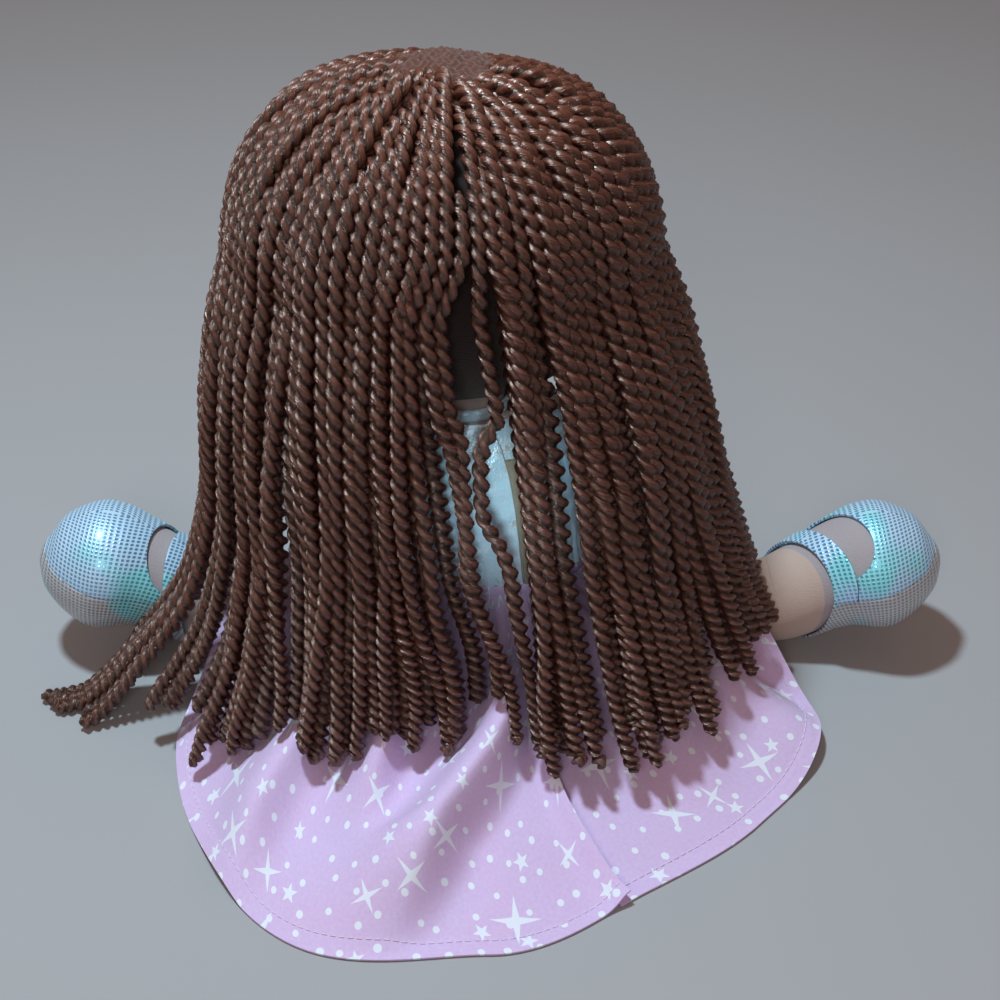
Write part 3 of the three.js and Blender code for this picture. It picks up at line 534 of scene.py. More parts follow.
def motif_mask(tree, cloth, layer, spacing, reach, tips, spread):
    """One inside a layer's scattered printed motifs: stars of so many tips, or dots."""
    moved = add_node(tree, "VectorMath", {
        "operation": "ADD", 1: (0.013 * layer, 0.021 * layer, 0)}, {0: cloth})
    cells = add_node(tree, "TexVoronoi", {
        "voronoi_dimensions": "2D", "feature": "F1", "Scale": 1 / spacing, "Randomness": 0.62},
        {"Vector": moved})
    offset = add_node(tree, "VectorMath", {"operation": "SUBTRACT"},
                      {0: moved, 1: cells.outputs["Position"]})
    chance = add_node(tree, "TexWhiteNoise", {"noise_dimensions": "3D"},
                      {"Vector": cells.outputs["Color"]})
    far = add_node(tree, "VectorMath", {"operation": "LENGTH"}, {0: offset})
    edge = size = add_node(tree, "Math", {
        "operation": "MULTIPLY_ADD", 1: -spread * reach, 2: reach}, {0: chance})
    if tips:
        parts = add_node(tree, "SeparateXYZ", links={0: offset})
        turn = add_node(tree, "Math", {"operation": "ARCTAN2"},
                        {0: parts.outputs[1], 1: parts.outputs[0]})
        spun = add_node(tree, "Math", {"operation": "MULTIPLY_ADD", 1: 1.4},
                        {0: chance, 2: turn})
        tip = add_node(tree, "Math", {"operation": "PINGPONG", 1: math.pi / tips}, {0: spun})
        cosine = add_node(tree, "Math", {"operation": "COSINE"}, {0: tip})
        sine = add_node(tree, "Math", {"operation": "SINE"}, {0: tip})
        steep = (1 / STAR_NOTCHES[tips] - math.cos(math.pi / tips)) / math.sin(math.pi / tips)
        slope = add_node(tree, "Math", {"operation": "MULTIPLY_ADD", 1: steep},
                         {0: sine, 2: cosine})
        edge = add_node(tree, "Math", {"operation": "DIVIDE"}, {0: size, 1: slope})
    return add_node(tree, "Math", {"operation": "LESS_THAN"}, {0: far, 1: edge})


@material_of
def printed_cotton(tree):
    """Plain-weave cotton with a pigment print: matt, with fine crossing threads."""
    c, s = colours(), sizes()
    cloth = add_node(tree, "UVMap", {"uv_map": "Cloth"})
    # Painted shade: random patches of the warmer tone that stands in for the folds' warm shade
    shape = add_node(tree, "TexNoise", {"Scale": 26.0, "Detail": 2.0}, {"Vector": cloth})
    printed = add_node(tree, "Mix", {"data_type": "RGBA", 6: c.cotton, 7: c.cotton_painted_shade},
                       {0: shape})
    # Each motif: spacing, reach of its tips, number of tips (none for dots), size spread
    motifs = [(s.star_spacing, 0.0115, 4, 0.45), (s.star_spacing * 1.05, 0.0044, 5, 0.2),
              (s.star_spacing * 0.36, 0.00165, 0, 0.2)]
    for layer, motif in enumerate(motifs):
        printed = add_node(tree, "Mix", {"data_type": "RGBA", 7: c.stars},
                           {0: motif_mask(tree, cloth, layer, *motif), 6: printed})
    # The threads are finer than the picture shows, so they are drawn at about twice their size
    across, along = (add_node(tree, "TexWave", {
        "wave_type": "BANDS", "bands_direction": direction, "Scale": WAVE_BAND / s.weave_pitch,
        "Distortion": 1.2, "Detail": 1.0}, {"Vector": cloth}).outputs[1]
        for direction in ("X", "Y"))
    weave = add_node(tree, "Math", {"operation": "MULTIPLY"}, {0: across, 1: along})
    slub = add_node(tree, "TexNoise", {"Scale": 620.0, "Detail": 3.0}, {"Vector": cloth})
    fade = add_node(tree, "MapRange", {"From Min": 0.25, "From Max": 0.8, "To Min": 0.0,
                                       "To Max": 0.32}, {"Value": slub})
    faded = add_node(tree, "Mix", {"data_type": "RGBA", 7: (0.86, 0.74, 0.95, 1)},
                     {0: fade, 6: printed})
    relief = add_node(tree, "Bump", {"Strength": 0.3, "Distance": 0.00015}, {"Height": weave})
    return {"Roughness": 0.85, "Specular IOR Level": 0.3, "Sheen Weight": 0.2,
            "Sheen Roughness": 0.5}, {"Base Color": faded, "Normal": relief}


@material_of
def crackled_foil(tree):
    """Cloth with a crackled foil film, beige, duller and less metallic in patches, and painted
    glints: some of its flakes are painted near white.
    """
    c = colours()
    place = add_node(tree, "TexCoord").outputs["Object"]
    flakes = add_node(tree, "TexVoronoi", {"Scale": 1100.0}, {"Vector": place})
    parts = add_node(tree, "SeparateXYZ", links={0: flakes.outputs["Color"]})
    worn = add_node(tree, "TexNoise", {"Scale": 95.0, "Detail": 5.0, "Roughness": 0.65},
                    {"Vector": place})
    # Beige patches, duller and less metallic than the foil
    beige_patches = add_node(tree, "MapRange", {"From Min": 0.57, "From Max": 0.72}, {"Value": worn})
    base = add_node(tree, "Mix", {"data_type": "RGBA", 6: c.foil, 7: c.foil_beige}, {0: beige_patches})
    # Painted glints: a share of the flakes is painted near white
    painted_glint_flakes = add_node(tree, "Math", {"operation": "GREATER_THAN", 1: 0.8}, {0: parts})
    glint = add_node(tree, "Mix", {"data_type": "RGBA", 7: linear("#e8f4fb")},
                     {0: painted_glint_flakes, 6: base})
    metal = add_node(tree, "MapRange", {"To Min": 0.12, "To Max": 0.0}, {"Value": beige_patches})
    dull = add_node(tree, "MapRange", {"To Min": 0.3, "To Max": 0.62}, {"Value": beige_patches})
    relief = add_node(tree, "Bump", {"Strength": 0.5, "Distance": 0.0003}, {"Height": flakes})
    return {}, {"Base Color": glint, "Metallic": metal, "Roughness": dull, "Normal": relief}


@material_of
def dotted_foil(tree, ground, dots):
    """Pale stretch cloth with a square grid of pressed mirror dots, and large patches of painted
    iridescence that turn the cloth and its dots cyan and green.
    """
    cloth = add_node(tree, "UVMap", {"uv_map": "Cloth"})
    cells = add_node(tree, "VectorMath", {
        "operation": "SCALE", "Scale": 1 / sizes().dot_pitch}, {0: cloth})
    part = add_node(tree, "VectorMath", {"operation": "FRACTION"}, {0: cells})
    centred = add_node(tree, "VectorMath", {"operation": "SUBTRACT", 1: (0.5, 0.5, 0)}, {0: part})
    far = add_node(tree, "VectorMath", {"operation": "LENGTH"}, {0: centred})
    dot = add_node(tree, "MapRange", {"From Min": 0.27, "From Max": 0.41, "To Min": 1.0,
                                      "To Max": 0.0}, {"Value": far})
    place = add_node(tree, "TexCoord").outputs["Object"]
    # Painted iridescence: the foil's changing sheen is painted as cyan and green patches
    patch = add_node(tree, "TexNoise", {"Scale": 34.0, "Detail": 1.0}, {"Vector": place})
    painted_iridescence = add_node(tree, "MapRange", {"From Min": 0.54, "From Max": 0.68}, {"Value": patch})
    film, spot = (add_node(tree, "Mix", {"data_type": "RGBA", 6: plain, 7: linear(shifted)},
                           {0: painted_iridescence}) for plain, shifted in ((ground, "#98e6f2"),
                                                            (dots, "#5cc0d0")))
    mix = add_node(tree, "Mix", {"data_type": "RGBA"}, {0: dot, 6: film, 7: spot})
    metal = add_node(tree, "MapRange", {"To Min": 0.1, "To Max": 0.5}, {"Value": dot})
    rough = add_node(tree, "MapRange", {"To Min": 0.42, "To Max": 0.2}, {"Value": dot})
    relief = add_node(tree, "Bump", {"Strength": 0.4, "Distance": 0.0002}, {"Height": dot})
    return {}, {"Base Color": mix, "Metallic": metal, "Roughness": rough, "Normal": relief}


@material_of
def sewn_thread(tree, colour):
    """Polyester embroidery thread: smooth filaments, with a painted satin sheen in lighter bands
    across the stitch.
    """
    place = add_node(tree, "TexCoord").outputs["Object"]
    lines = add_node(tree, "TexWave", {
        "wave_type": "BANDS", "bands_direction": "X", "Scale": 700.0, "Distortion": 1.5,
        "Detail": 1.0}, {"Vector": place}).outputs[1]
    painted_satin_sheen = [min(1.0, v * 1.7 + 0.01) for v in colour]
    mix = add_node(tree, "Mix", {"data_type": "RGBA", 6: colour, 7: painted_satin_sheen}, {0: lines})
    relief = add_node(tree, "Bump", {"Strength": 0.6, "Distance": 0.0002}, {"Height": lines})
    return {"Roughness": 0.45, "Sheen Weight": 0.2}, {"Base Color": mix, "Normal": relief}


@material_of
def woven_tape(tree):
    """Woven nylon touch-close tape: a dense, slightly hairy pile on a ribbed ground."""
    place = add_node(tree, "TexCoord").outputs["Object"]
    pile = add_node(tree, "TexNoise", {"Scale": 1500.0, "Detail": 2.0}, {"Vector": place})
    tape = colours().tape
    mix = add_node(tree, "Mix", {"data_type": "RGBA", 6: [v * 0.6 for v in tape], 7: tape},
                   {0: pile})
    relief = add_node(tree, "Bump", {"Strength": 0.7, "Distance": 0.0003}, {"Height": pile})
    return {"Roughness": 0.8, "Sheen Weight": 0.3}, {"Base Color": mix, "Normal": relief}


@material_of
def studio_paper(tree):
    """Matt paper of the floor: a faint, even grain."""
    floor = colours().floor
    place = add_node(tree, "TexCoord").outputs["Object"]
    grain = add_node(tree, "TexNoise", {"Scale": 900.0, "Detail": 2.0}, {"Vector": place})
    mix = add_node(tree, "Mix", {"data_type": "RGBA", 6: [v * 0.97 for v in floor], 7: floor},
                   {0: grain})
    return {"Roughness": 0.95, "Specular IOR Level": 0.1}, {"Base Color": mix}


def skin():
    return brushed_knit("Brushed skin jersey", colours().skin, colours().skin_fold)


def glitter_foil():
    return crackled_foil("Crackled glitter foil on jersey")


# ---- shapes shared by several pieces
def lean_at(heights):
    """How far the trunk's middle has shifted to the doll's left at a height."""
    return HEAD_SHIFT * np.maximum(0, (heights - LEAN_START) / (HEAD_HEIGHT - LEAN_START))


def torso_points(angles, heights, outwards):
    """Points of the torso's surface; angle zero is the middle of the back."""
    share = heights / TORSO_HEIGHT
    wide = TORSO_HALF_WIDTH * np.interp(share, TORSO_ROWS[:, 0], TORSO_ROWS[:, 1]) + outwards
    deep = TORSO_HALF_DEPTH * np.interp(share, TORSO_ROWS[:, 0], TORSO_ROWS[:, 2]) + outwards
    return np.stack([wide * np.sin(angles) + lean_at(heights), deep * np.cos(angles),
                     heights + 0 * angles], axis=-1)


def hem_at(angles):
    """Reach of the skirt's hem from the middle of the seat, at signed angles."""
    place = np.abs(angles) / math.pi
    return HEM_REACH * np.where(angles >= 0, rounded(LEFT_HEM, place), rounded(RIGHT_HEM, place))


def waist_at(angles):
    """Reach of the skirt's upper edge, just outside the waistband."""
    room = WAISTBAND_THICKNESS + 3 * SEAM_GAP
    edge = torso_points(np.array([math.pi / 2, 0.0]), np.full(2, WAIST_HEIGHT), room)
    return 1 / np.hypot(np.sin(angles) / edge[0, 0], np.cos(angles) / edge[1, 1])


# The skirt's lowest height, the angle of its front seam on either side, and its grid's rows
LOWEST_CLOTH, FRONT_SEAM, SKIRT_ROWS = 1.0, 179.7, 84
# Folds of the skirt's back: angle at four shares of the way, height, widths on the doll's
# left and right of the ridge, first and last share
FOLD_SHARES = [0.1, 0.45, 0.7, 0.95]
FOLDS = [
    ([44, 42, 40, 37], 16.0, 8.0, 4.5, 0.02, 1.1),
    ([20, 23, 22, 18], 17.0, 5.5, 3.4, 0.0, 0.75),
    ([-13, -4, 8, 13], 25.0, 10.0, 3.3, 0.12, 1.02),
    ([62, 62, 62, 62], 8.0, 7.0, 5.0, 0.0, 1.2),
    ([80, 81, 82, 84], 5.5, 6.0, 6.0, 0.0, 1.2),
    ([98, 99, 100, 101], 4.0, 6.0, 6.0, 0.0, 1.0),
    ([-28, -28, -28, -27], 6.5, 5.0, 4.0, 0.0, 0.7),
    ([-44, -45, -46, -47], 8.0, 7.0, 6.0, 0.0, 0.85),
    ([-62, -63, -64, -65], 9.0, 9.0, 7.0, 0.1, 1.5),
    ([-84, -84, -84, -84], 4.0, 6.0, 6.0, 0.0, 1.2),
    ([-100, -100, -100, -100], 4.0, 6.0, 6.0, 0.0, 1.0),
]
# The cloth's clearance over the legs and half width of its tent there, the share of the way
# at which the ripples in front end, and their height
LEG_CLEARANCE, TENT_HALF_WIDTH, RIPPLE_END, RIPPLE_HEIGHT = 2.9, 34, 0.87, 5.0


def skirt_height(angles, shares):
    """Height of the skirt's upper face at signed angles and shares of the way to the hem."""
    reach = lerp(waist_at(angles), hem_at(angles), shares)
    x, y = reach * np.sin(angles), reach * np.cos(angles)
    backward = (1 + np.cos(angles)) / 2
    hanging = np.maximum(0, 1 - shares) ** 1.35
    base = WAIST_HEIGHT * lerp(1 - shares ** 1.8, hanging, backward)
    leg_top = HIP_HEIGHT + LEG_RADIUS + LEG_CLEARANCE
    over_leg = smoothstep(np.abs(x), HIP_HALF_SPAN / 2, HIP_HALF_SPAN)
    tent = leg_top * over_leg * bump(y + HIP_FORWARD, TENT_HALF_WIDTH)
    draped = (base ** 10 + tent ** 10) ** 0.1
    room = 1 - over_leg * tent / leg_top
    envelope = np.sin(math.pi * np.minimum(1, shares / RIPPLE_END)) ** 0.7
    ripple = RIPPLE_HEIGHT * (1 + np.cos(15 * angles)) / 2 * np.maximum(0, envelope)
    degrees = np.degrees(angles)
    front = smoothstep(np.abs(degrees), 100, 125)
    height = draped + ripple * room * front
    for places, rise, left, right, first, last in FOLDS:
        middle = np.interp(shares, FOLD_SHARES, places)
        width = np.where(degrees > middle, left, right)
        run = smoothstep(shares, first, first + 0.25) * (1 - smoothstep(shares, last - 0.3, last))
        height = height + rise * bump(degrees - middle, width) * run * lerp(0.45, 1, room) * (
            1 - front)
    gathers = (0.9 * np.cos(47 * angles) + 0.6 * np.cos(31 * angles + 1)) * (
        1 - smoothstep(shares, 0.05, 0.45))
    crinkle = 0.5 * np.sin(9 * angles + 11 * shares) * np.sin(14 * shares + 3 * angles)
    height = height + (gathers + crinkle) * smoothstep(shares, 0, 0.06)
    return np.maximum(LOWEST_CLOTH, height)


def slit_angle(shares):
    """Signed angle of the skirt's back opening, in degrees, at shares of the way down."""
    return np.interp(shares, [0, 0.25, 0.49, 0.64, 0.78, 1],
                     [-24, -17, -13.5, -15, -16.8, -19.6])


def hair_points(angles, way, outwards, end, stray):
    """Places in the hair: way is 0 at the parting, 1 at the head's widest, 2 at the ends."""
    angles, way, outwards = np.broadcast_arrays(angles, way, outwards)
    wide, deep = HEAD_HALF_WIDTH + outwards, HEAD_HALF_DEPTH + outwards
    spread = math.radians(HAIR_SPREAD)
    aside = np.maximum(0, (np.abs(angles) - math.pi / 2) / (spread - math.pi / 2))
    ease = np.sin(np.minimum(way, 1) * math.pi / 2)
    start_x = HAIR_ROOT_RADIUS * np.where(aside > 0, np.sign(angles), np.sin(angles))
    start_y = np.where(aside > 0, -PARTING_LENGTH * aside, HAIR_ROOT_RADIUS * np.cos(angles))
    x = lerp(start_x, wide * np.sin(angles), ease)
    y = lerp(start_y, deep * np.cos(angles), ease)
    rest = np.sqrt(np.maximum(0, 1 - (x / wide) ** 2 - (y / deep) ** 2))
    z = HEAD_HEIGHT + (HEAD_HALF_HEIGHT + outwards) * rest
    below = way > 1
    low = lerp(HEAD_HEIGHT, end, np.maximum(0, way - 1))
    drop = (HEAD_HEIGHT - low) / HAIR_DROP
    flare = np.interp(drop, FLARE_DROPS, FLARE_SHARES)
    extra = stray * STRAY_FLARE * np.maximum(0, (HEAD_HEIGHT - low) / (HEAD_HEIGHT - 2)) ** 6
    back = HAIR_BACK_FLARE + HAIR_CORNER_FLARE * np.maximum(0, np.sin(2 * np.abs(angles)))
    x = np.where(below, (wide + HAIR_SIDE_FLARE * flare + extra) * np.sin(angles), x)
    y = np.where(below, (deep + back * flare + extra) * np.cos(angles), y)
    shift = HEAD_SHIFT * (np.clip(low, 0, HEAD_HEIGHT) / HEAD_HEIGHT) ** 0.8
    return np.stack([x + np.where(below, shift, HEAD_SHIFT), y, np.where(below, low, z)],
                    axis=-1)


def rest_height(x, y):
    """Height of what lies under a place beside the doll: the skirt, a leg or the floor."""
    angle = np.arctan2(x, y)
    share = (np.hypot(x, y) - waist_at(angle)) / (hem_at(angle) - waist_at(angle))
    cloth = np.where(share < 1, skirt_height(angle, np.clip(share, 0, 1)), 0)
    past = np.clip((np.abs(x) - ANKLE_REACH) / (INSTEP_SHARE * FOOT_REACH), 0, 1)
    radius = lerp(LEG_RADIUS, FOOT_RADIUS, past)
    top = HIP_HEIGHT + INSTEP_RISE_SHARE * FOOT_RISE * past + radius
    return np.maximum(cloth, np.where(np.abs(y + HIP_FORWARD) < radius, top, 0))


# ---- hair
# A ply's radius and its middle's offset, as shares of the strand's radius
PLY_RADIUS, PLY_OFFSET = 0.61, 0.41


def ply_section(count):
    """Outline of two touching plies of count points, and each point's place round its ply."""
    reach = math.pi - math.acos(PLY_OFFSET / PLY_RADIUS)
    places, outline = [], []
    for side in (1, -1):
        for k in range(count):
            turn = -reach + 2 * reach * k / count
            outline.append((side * (PLY_OFFSET + PLY_RADIUS * math.cos(turn)),
                            side * PLY_RADIUS * math.sin(turn)))
            places.append(turn / reach)
    return np.array(outline), np.array(places)


# A strand's end is wound tighter by this share, which fades over so many millimetres
TIGHTER, TIGHT_FADE = 0.42, 60
# Share of a strand's width by which it swells and thins along its length
YARN_SWELL = 0.06


def yarn_strand(path, width, pitch, phase, crown_lightening, seed, points, shade):
    """Two plies twisted round a path: points, quads, end faces and, for each point, the
    place in the fibres' grain, the tone (strand's own, lighter towards the crown, painted shade
    in the groove) and the fibre's way."""
    outline, places = ply_section(points)
    sides = len(outline)
    tangent = unit(np.gradient(path, axis=0))
    centre = np.stack([0 * path[:, 0] + HEAD_SHIFT, 0 * path[:, 1],
                       np.minimum(path[:, 2], HEAD_HEIGHT)], axis=-1)
    outward = path - centre
    outward = unit(outward - tangent * (outward * tangent).sum(1, keepdims=True))
    aside = np.cross(outward, tangent)
    along = lengths_along(path)
    left = along[-1] - along
    tighter = 1 + TIGHTER * np.clip(1.25 - left / TIGHT_FADE, 0, 1)
    turns = np.concatenate([[0], np.cumsum(np.diff(along) * tighter[1:])])
    turn = 2 * math.pi * turns / pitch + phase
    u = np.cos(turn)[:, None] * outward + np.sin(turn)[:, None] * aside
    v = -np.sin(turn)[:, None] * outward + np.cos(turn)[:, None] * aside
    rng = np.random.default_rng(seed)
    swell = 1 + YARN_SWELL * np.sin(along / rng.uniform(9, 16) + rng.uniform(0, 6.28))
    radius = width / 2 * swell * np.sqrt(np.clip(left / 2.2, 0.12, 1)) * np.sqrt(
        np.clip(along / 2.0, 0.2, 1))
    ring = (path[:, None, :] + (radius[:, None] * outline[:, 0])[..., None] * u[:, None, :]
            + (radius[:, None] * outline[:, 1])[..., None] * v[:, None, :])
    steps = len(path)
    vertices = np.vstack([ring.reshape(-1, 3), path[:1], path[-1:]])
    a = np.arange(steps - 1)[:, None] * sides + np.arange(sides)
    b = np.arange(steps - 1)[:, None] * sides + (np.arange(sides) + 1) % sides
    quads = np.stack([a, a + sides, b + sides, b], axis=-1).reshape(-1, 4)
    first, last = steps * sides, steps * sides + 1
    ends = [(first, k, (k + 1) % sides) for k in range(sides)]
    base = (steps - 1) * sides
    ends += [(last, base + (k + 1) % sides, base + k) for k in range(sides)]
    grain = np.stack([np.repeat(along, sides) * 0.16, np.tile(places * 4.5, steps),
                      np.full(steps * sides, rng.uniform(0, 90))], axis=-1)
    # Painted shade: the deeper a point lies in the groove between the plies, the darker it is,
    # plus the layer's painted shade
    depth = np.tile(1 - np.abs(np.linalg.norm(outline, axis=1)), steps)
    tone = np.stack([np.full(steps * sides, rng.uniform(0.0, 1.0)),
                     np.repeat(crown_lightening, sides), np.clip(depth * 3.1 - 0.3 + shade, 0, 1)], axis=-1)
    fibre = unit(np.gradient(ring, axis=0)).reshape(-1, 3)
    return vertices, quads, ends, [np.vstack([v, v[:1], v[-1:]]) for v in (grain, tone, fibre)]


def evenly(path, step):
    """The same path with points at equal steps along it."""
    along = lengths_along(path)
    places = np.linspace(0, along[-1], max(8, int(along[-1] / step)))
    return sampled(path, along, places)


def clumps():
    """Angles at which the hanging strands part into clumps, in degrees."""
    rng = np.random.default_rng(61)
    edges = [-HAIR_SPREAD]
    while edges[-1] < HAIR_SPREAD:
        edges.append(edges[-1] + rng.uniform(9, 19))
    return np.array(edges)


def sways(count):
    """Drift, pace and phase of each strand's wander."""
    rng = np.random.default_rng(29)
    return np.stack([rng.normal(0, 1.5, count), rng.uniform(3, 5, count),
                     rng.uniform(0, 6.28, count)], axis=-1)


def sway_at(table, place, way):
    """Wander in degrees of a strand between two strands of the outer layer."""
    low = min(int(place), len(table) - 2)
    parts = [drift * way / 2 + 1.3 * np.sin(way * pace + phase)
             for drift, pace, phase in table[low:low + 2]]
    return lerp(parts[0], parts[1], place - low)


# Each layer of hair, outer then inner: height of its strands' middles over the cap's clearance,
# step along a strand, widening of its strands, points round a ply and painted shade added to
# the groove, which darkens the inner layer that hangs behind the outer one
LAYER_LIFTS, LAYER_STEPS, LAYER_WIDTHS = (4.6, -0.3), (0.76, 1.2), (1, 1.22)
LAYER_POINTS, LAYER_PAINTED_SHADES = (5, 4), (0.0, 0.5)
# Strands on the doll's left end this much lower, which sets in between two angles
LOW_SIDE, LOW_SIDE_DROP = (28, 52), 18


def parting_shift(angle, way, own):
    """How far a strand at an angle moves aside, in degrees, with its own extra, if any."""
    opened = smoothstep(way, 0.74, 1.0) * (1 - 0.7 * smoothstep(way, 1.62, 1.9))
    return opened * float(np.interp(angle, *PARTED)) + (np.interp(way, *own) if own else 0)


def strand_path(angle, layer, start, rng, own, sway):
    """Hanging line of one strand at an angle in degrees; layer 0 is the outer one."""
    inner = SEAM_GAP + CAP_THICKNESS + 1.3
    width = sizes().yarn_width / MM
    stray = abs(angle - STRAY_ANGLE) < STRAY_HALF_WIDTH
    way = np.linspace(start, 2, 110)
    # Strands wander a little, lean on each other and bunch as they hang
    loose = smoothstep(way, 0.35, 1.6)
    wander = loose * sway(way)
    if not stray and layer == 0:
        edges = clumps()
        place = min(max(int(np.searchsorted(edges, angle)) - 1, 0), len(edges) - 2)
        middle = (edges[place] + edges[place + 1]) / 2
        wander = wander + 0.42 * (middle - angle) * smoothstep(way, 1.45, 2.0)
    elif stray:
        wander = wander + loose ** 2 * 0.72 * (STRAY_ANGLE - angle)
    angles = np.radians(angle + parting_shift(angle, way, own) + wander)
    lift = rng.uniform(-1.4, 1.2) + 1.3 * loose * np.sin(way * 5 + rng.uniform(0, 6.28))
    # The start of a strand is tucked under the others, or sewn down at the parting
    depth, run = (6.0, 0.2) if start > 0 else (6.5, 0.5)
    tucked = depth * (1 - smoothstep(way, start, start + run))
    flat_crown = 2.6 * (1 - smoothstep(way, 0.25, 0.8))
    out = inner + width / 2 + LAYER_LIFTS[layer] + lift - tucked - flat_crown
    last = angles[-1]
    lowest = HEAD_HEIGHT - HAIR_DROP + max(0, -math.cos(last)) * FRONT_HAIR_LIFT
    lowest = lowest - LOW_SIDE_DROP * smoothstep(math.degrees(last), *LOW_SIDE)
    end = lowest + rng.uniform(-1, 13) + (5 if layer else 0)
    pulled = float(stray) if stray else 0.84 * bump(
        abs(angle - STRAY_ANGLE) - STRAY_HALF_WIDTH, 15) * rng.uniform(0.7, 1)
    if stray:
        end = width / 2 + rng.uniform(0.5, 5)
    for _ in range(3):
        tip = hair_points(last, 2.0, out[-1], end, pulled)
        rest = float(rest_height(tip[0], tip[1])) + width / 2 + 0.8
        end = rest + 0.5 if stray else max(end, rest + 0.6)
    path = hair_points(angles, way, out, end, pulled)
    # The ends come to lie on the skirt and run outwards over it
    behind = max(0.0, math.cos(last))
    tail = rng.uniform(0, 8) * behind if not stray else rng.uniform(0, 22)
    ahead = path[-1, :2] / np.linalg.norm(path[-1, :2])
    places = path[-1, :2] + ahead * np.arange(1.5, max(tail, 1.6), 1.5)[:, None]
    heights = np.maximum(path[-1, 2] - 0.25 * np.arange(len(places)),
                         rest_height(places[:, 0], places[:, 1]) + width / 2)
    path = evenly(np.vstack([path, np.column_stack([places, heights])]), LAYER_STEPS[layer])
    soft = np.array([1, 2, 3, 4, 5, 4, 3, 2, 1]) / 25.0
    padded = np.vstack([path[:1]] * 4 + [path] + [path[-1:]] * 4)
    path = np.stack([np.convolve(padded[:, i], soft, "valid") for i in range(3)], axis=-1)
    return path


# A strand pressed by its neighbours on the cap takes this share of its width
PRESSED_WIDTH = 0.62


def hair_starts(count, width):
    """Share of the way over the head where each strand leaves the cap, so that no more
    strands lie beside each other than there is room for."""
    # In this order each next strand starts far from the ones before it
    order = sorted(range(count), key=lambda i: int(format(i, "07b")[::-1], 2) + 8 * (i % 3))
    spread = math.radians(HAIR_SPREAD)
    starts = np.zeros(count)
    for rank, index in enumerate(order):
        angle = -spread + 2 * spread * (index + 0.5) / count
        if abs(angle) > math.pi / 2:
            continue
        room = (rank + 1) * width * PRESSED_WIDTH / (2 * spread)
        share = min(0.985, max(0.0, (room - HAIR_ROOT_RADIUS) / HEAD_HALF_WIDTH))
        starts[index] = 2 / math.pi * math.asin(share)
    return starts


class DOLL_OT_hair(bpy.types.Operator):
    """Two layers of twisted yarn strands that hang from the parting and the crown"""
    bl_idname = "rag_doll.hair"
    bl_label = "Yarn hair"

    def execute(self, context):
        s = sizes()
        width, pitch = s.yarn_width / MM, s.yarn_pitch / MM
        locks = [f"hair_lock_{i:02d}" for i in range(1, 27)]
        table = sways(s.strands)
        for layer, count in enumerate((s.strands, s.strands - 1)):
            starts = hair_starts(count, width)
            halves = {"right": [], "left": []}
            for index in range(count):
                # The inner strands hang behind the gaps of the outer ones
                place = index + 0.5 * layer
                rng = np.random.default_rng(1000 * (layer + 1) + index)
                angle = -HAIR_SPREAD + 2 * HAIR_SPREAD * (place + 0.5) / s.strands
                off = angle - PART_ANGLE
                if layer and abs(off) < PART_HALF_WIDTH and index % 4:
                    continue

                path = strand_path(angle, layer, starts[index], rng,
                                   ASIDE.get(index) if layer == 0 else None,
                                   lambda way: sway_at(table, place, way))
                # Strands are lighter towards the top of the head
                top = (HEAD_HEIGHT + HEAD_HALF_HEIGHT - path[:, 2]) / HEAD_HALF_HEIGHT
                crown_lightening = 0.42 * (1 - smoothstep(top, 0.02, 0.5)) + 0.05
                twist = pitch * rng.uniform(0.92, 1.1)
                wide = width * rng.uniform(0.94, 1.08) * LAYER_WIDTHS[layer]
                halves["left" if angle > PART_ANGLE else "right"].append(yarn_strand(
                    path, wide, twist, rng.uniform(0, 6.28), crown_lightening, 7000 * (layer + 1) + index,
                    LAYER_POINTS[layer], LAYER_PAINTED_SHADES[layer]))
            for side, strands in halves.items():
                vertices, faces, base = [], [], 0
                for points, quads, ends, _ in strands:
                    vertices.append(points)
                    faces += (quads + base).tolist()
                    faces += [tuple(i + base for i in end) for end in ends]
                    base += len(points)
                name = ("hair_outer_" if layer == 0 else "hair_inner_") + side
                piece = new_piece(name, np.vstack(vertices), faces)
                yarn_attributes(piece, *(np.vstack([strand[3][k] for strand in strands])
                                         for k in range(3)))
                dress(piece, twisted_yarn("Twisted acrylic yarn"), None, "hair_yarn",
                      *(() if layer else (locks[:12] if side == "right" else locks[12:])))
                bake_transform(piece)
        return {"FINISHED"}


def yarn_attributes(piece, grain, tone, fibre):
    """Stores what the yarn's material reads: grain, tone with its painted shade and the fibres'
    direction.
    """
    for key, values in (("grain", grain), ("tone", tone), ("fibre", fibre)):
        attribute = piece.data.attributes.new(key, "FLOAT_VECTOR", "POINT")
        attribute.data.foreach_set("vector", values.astype(np.float32).ravel())


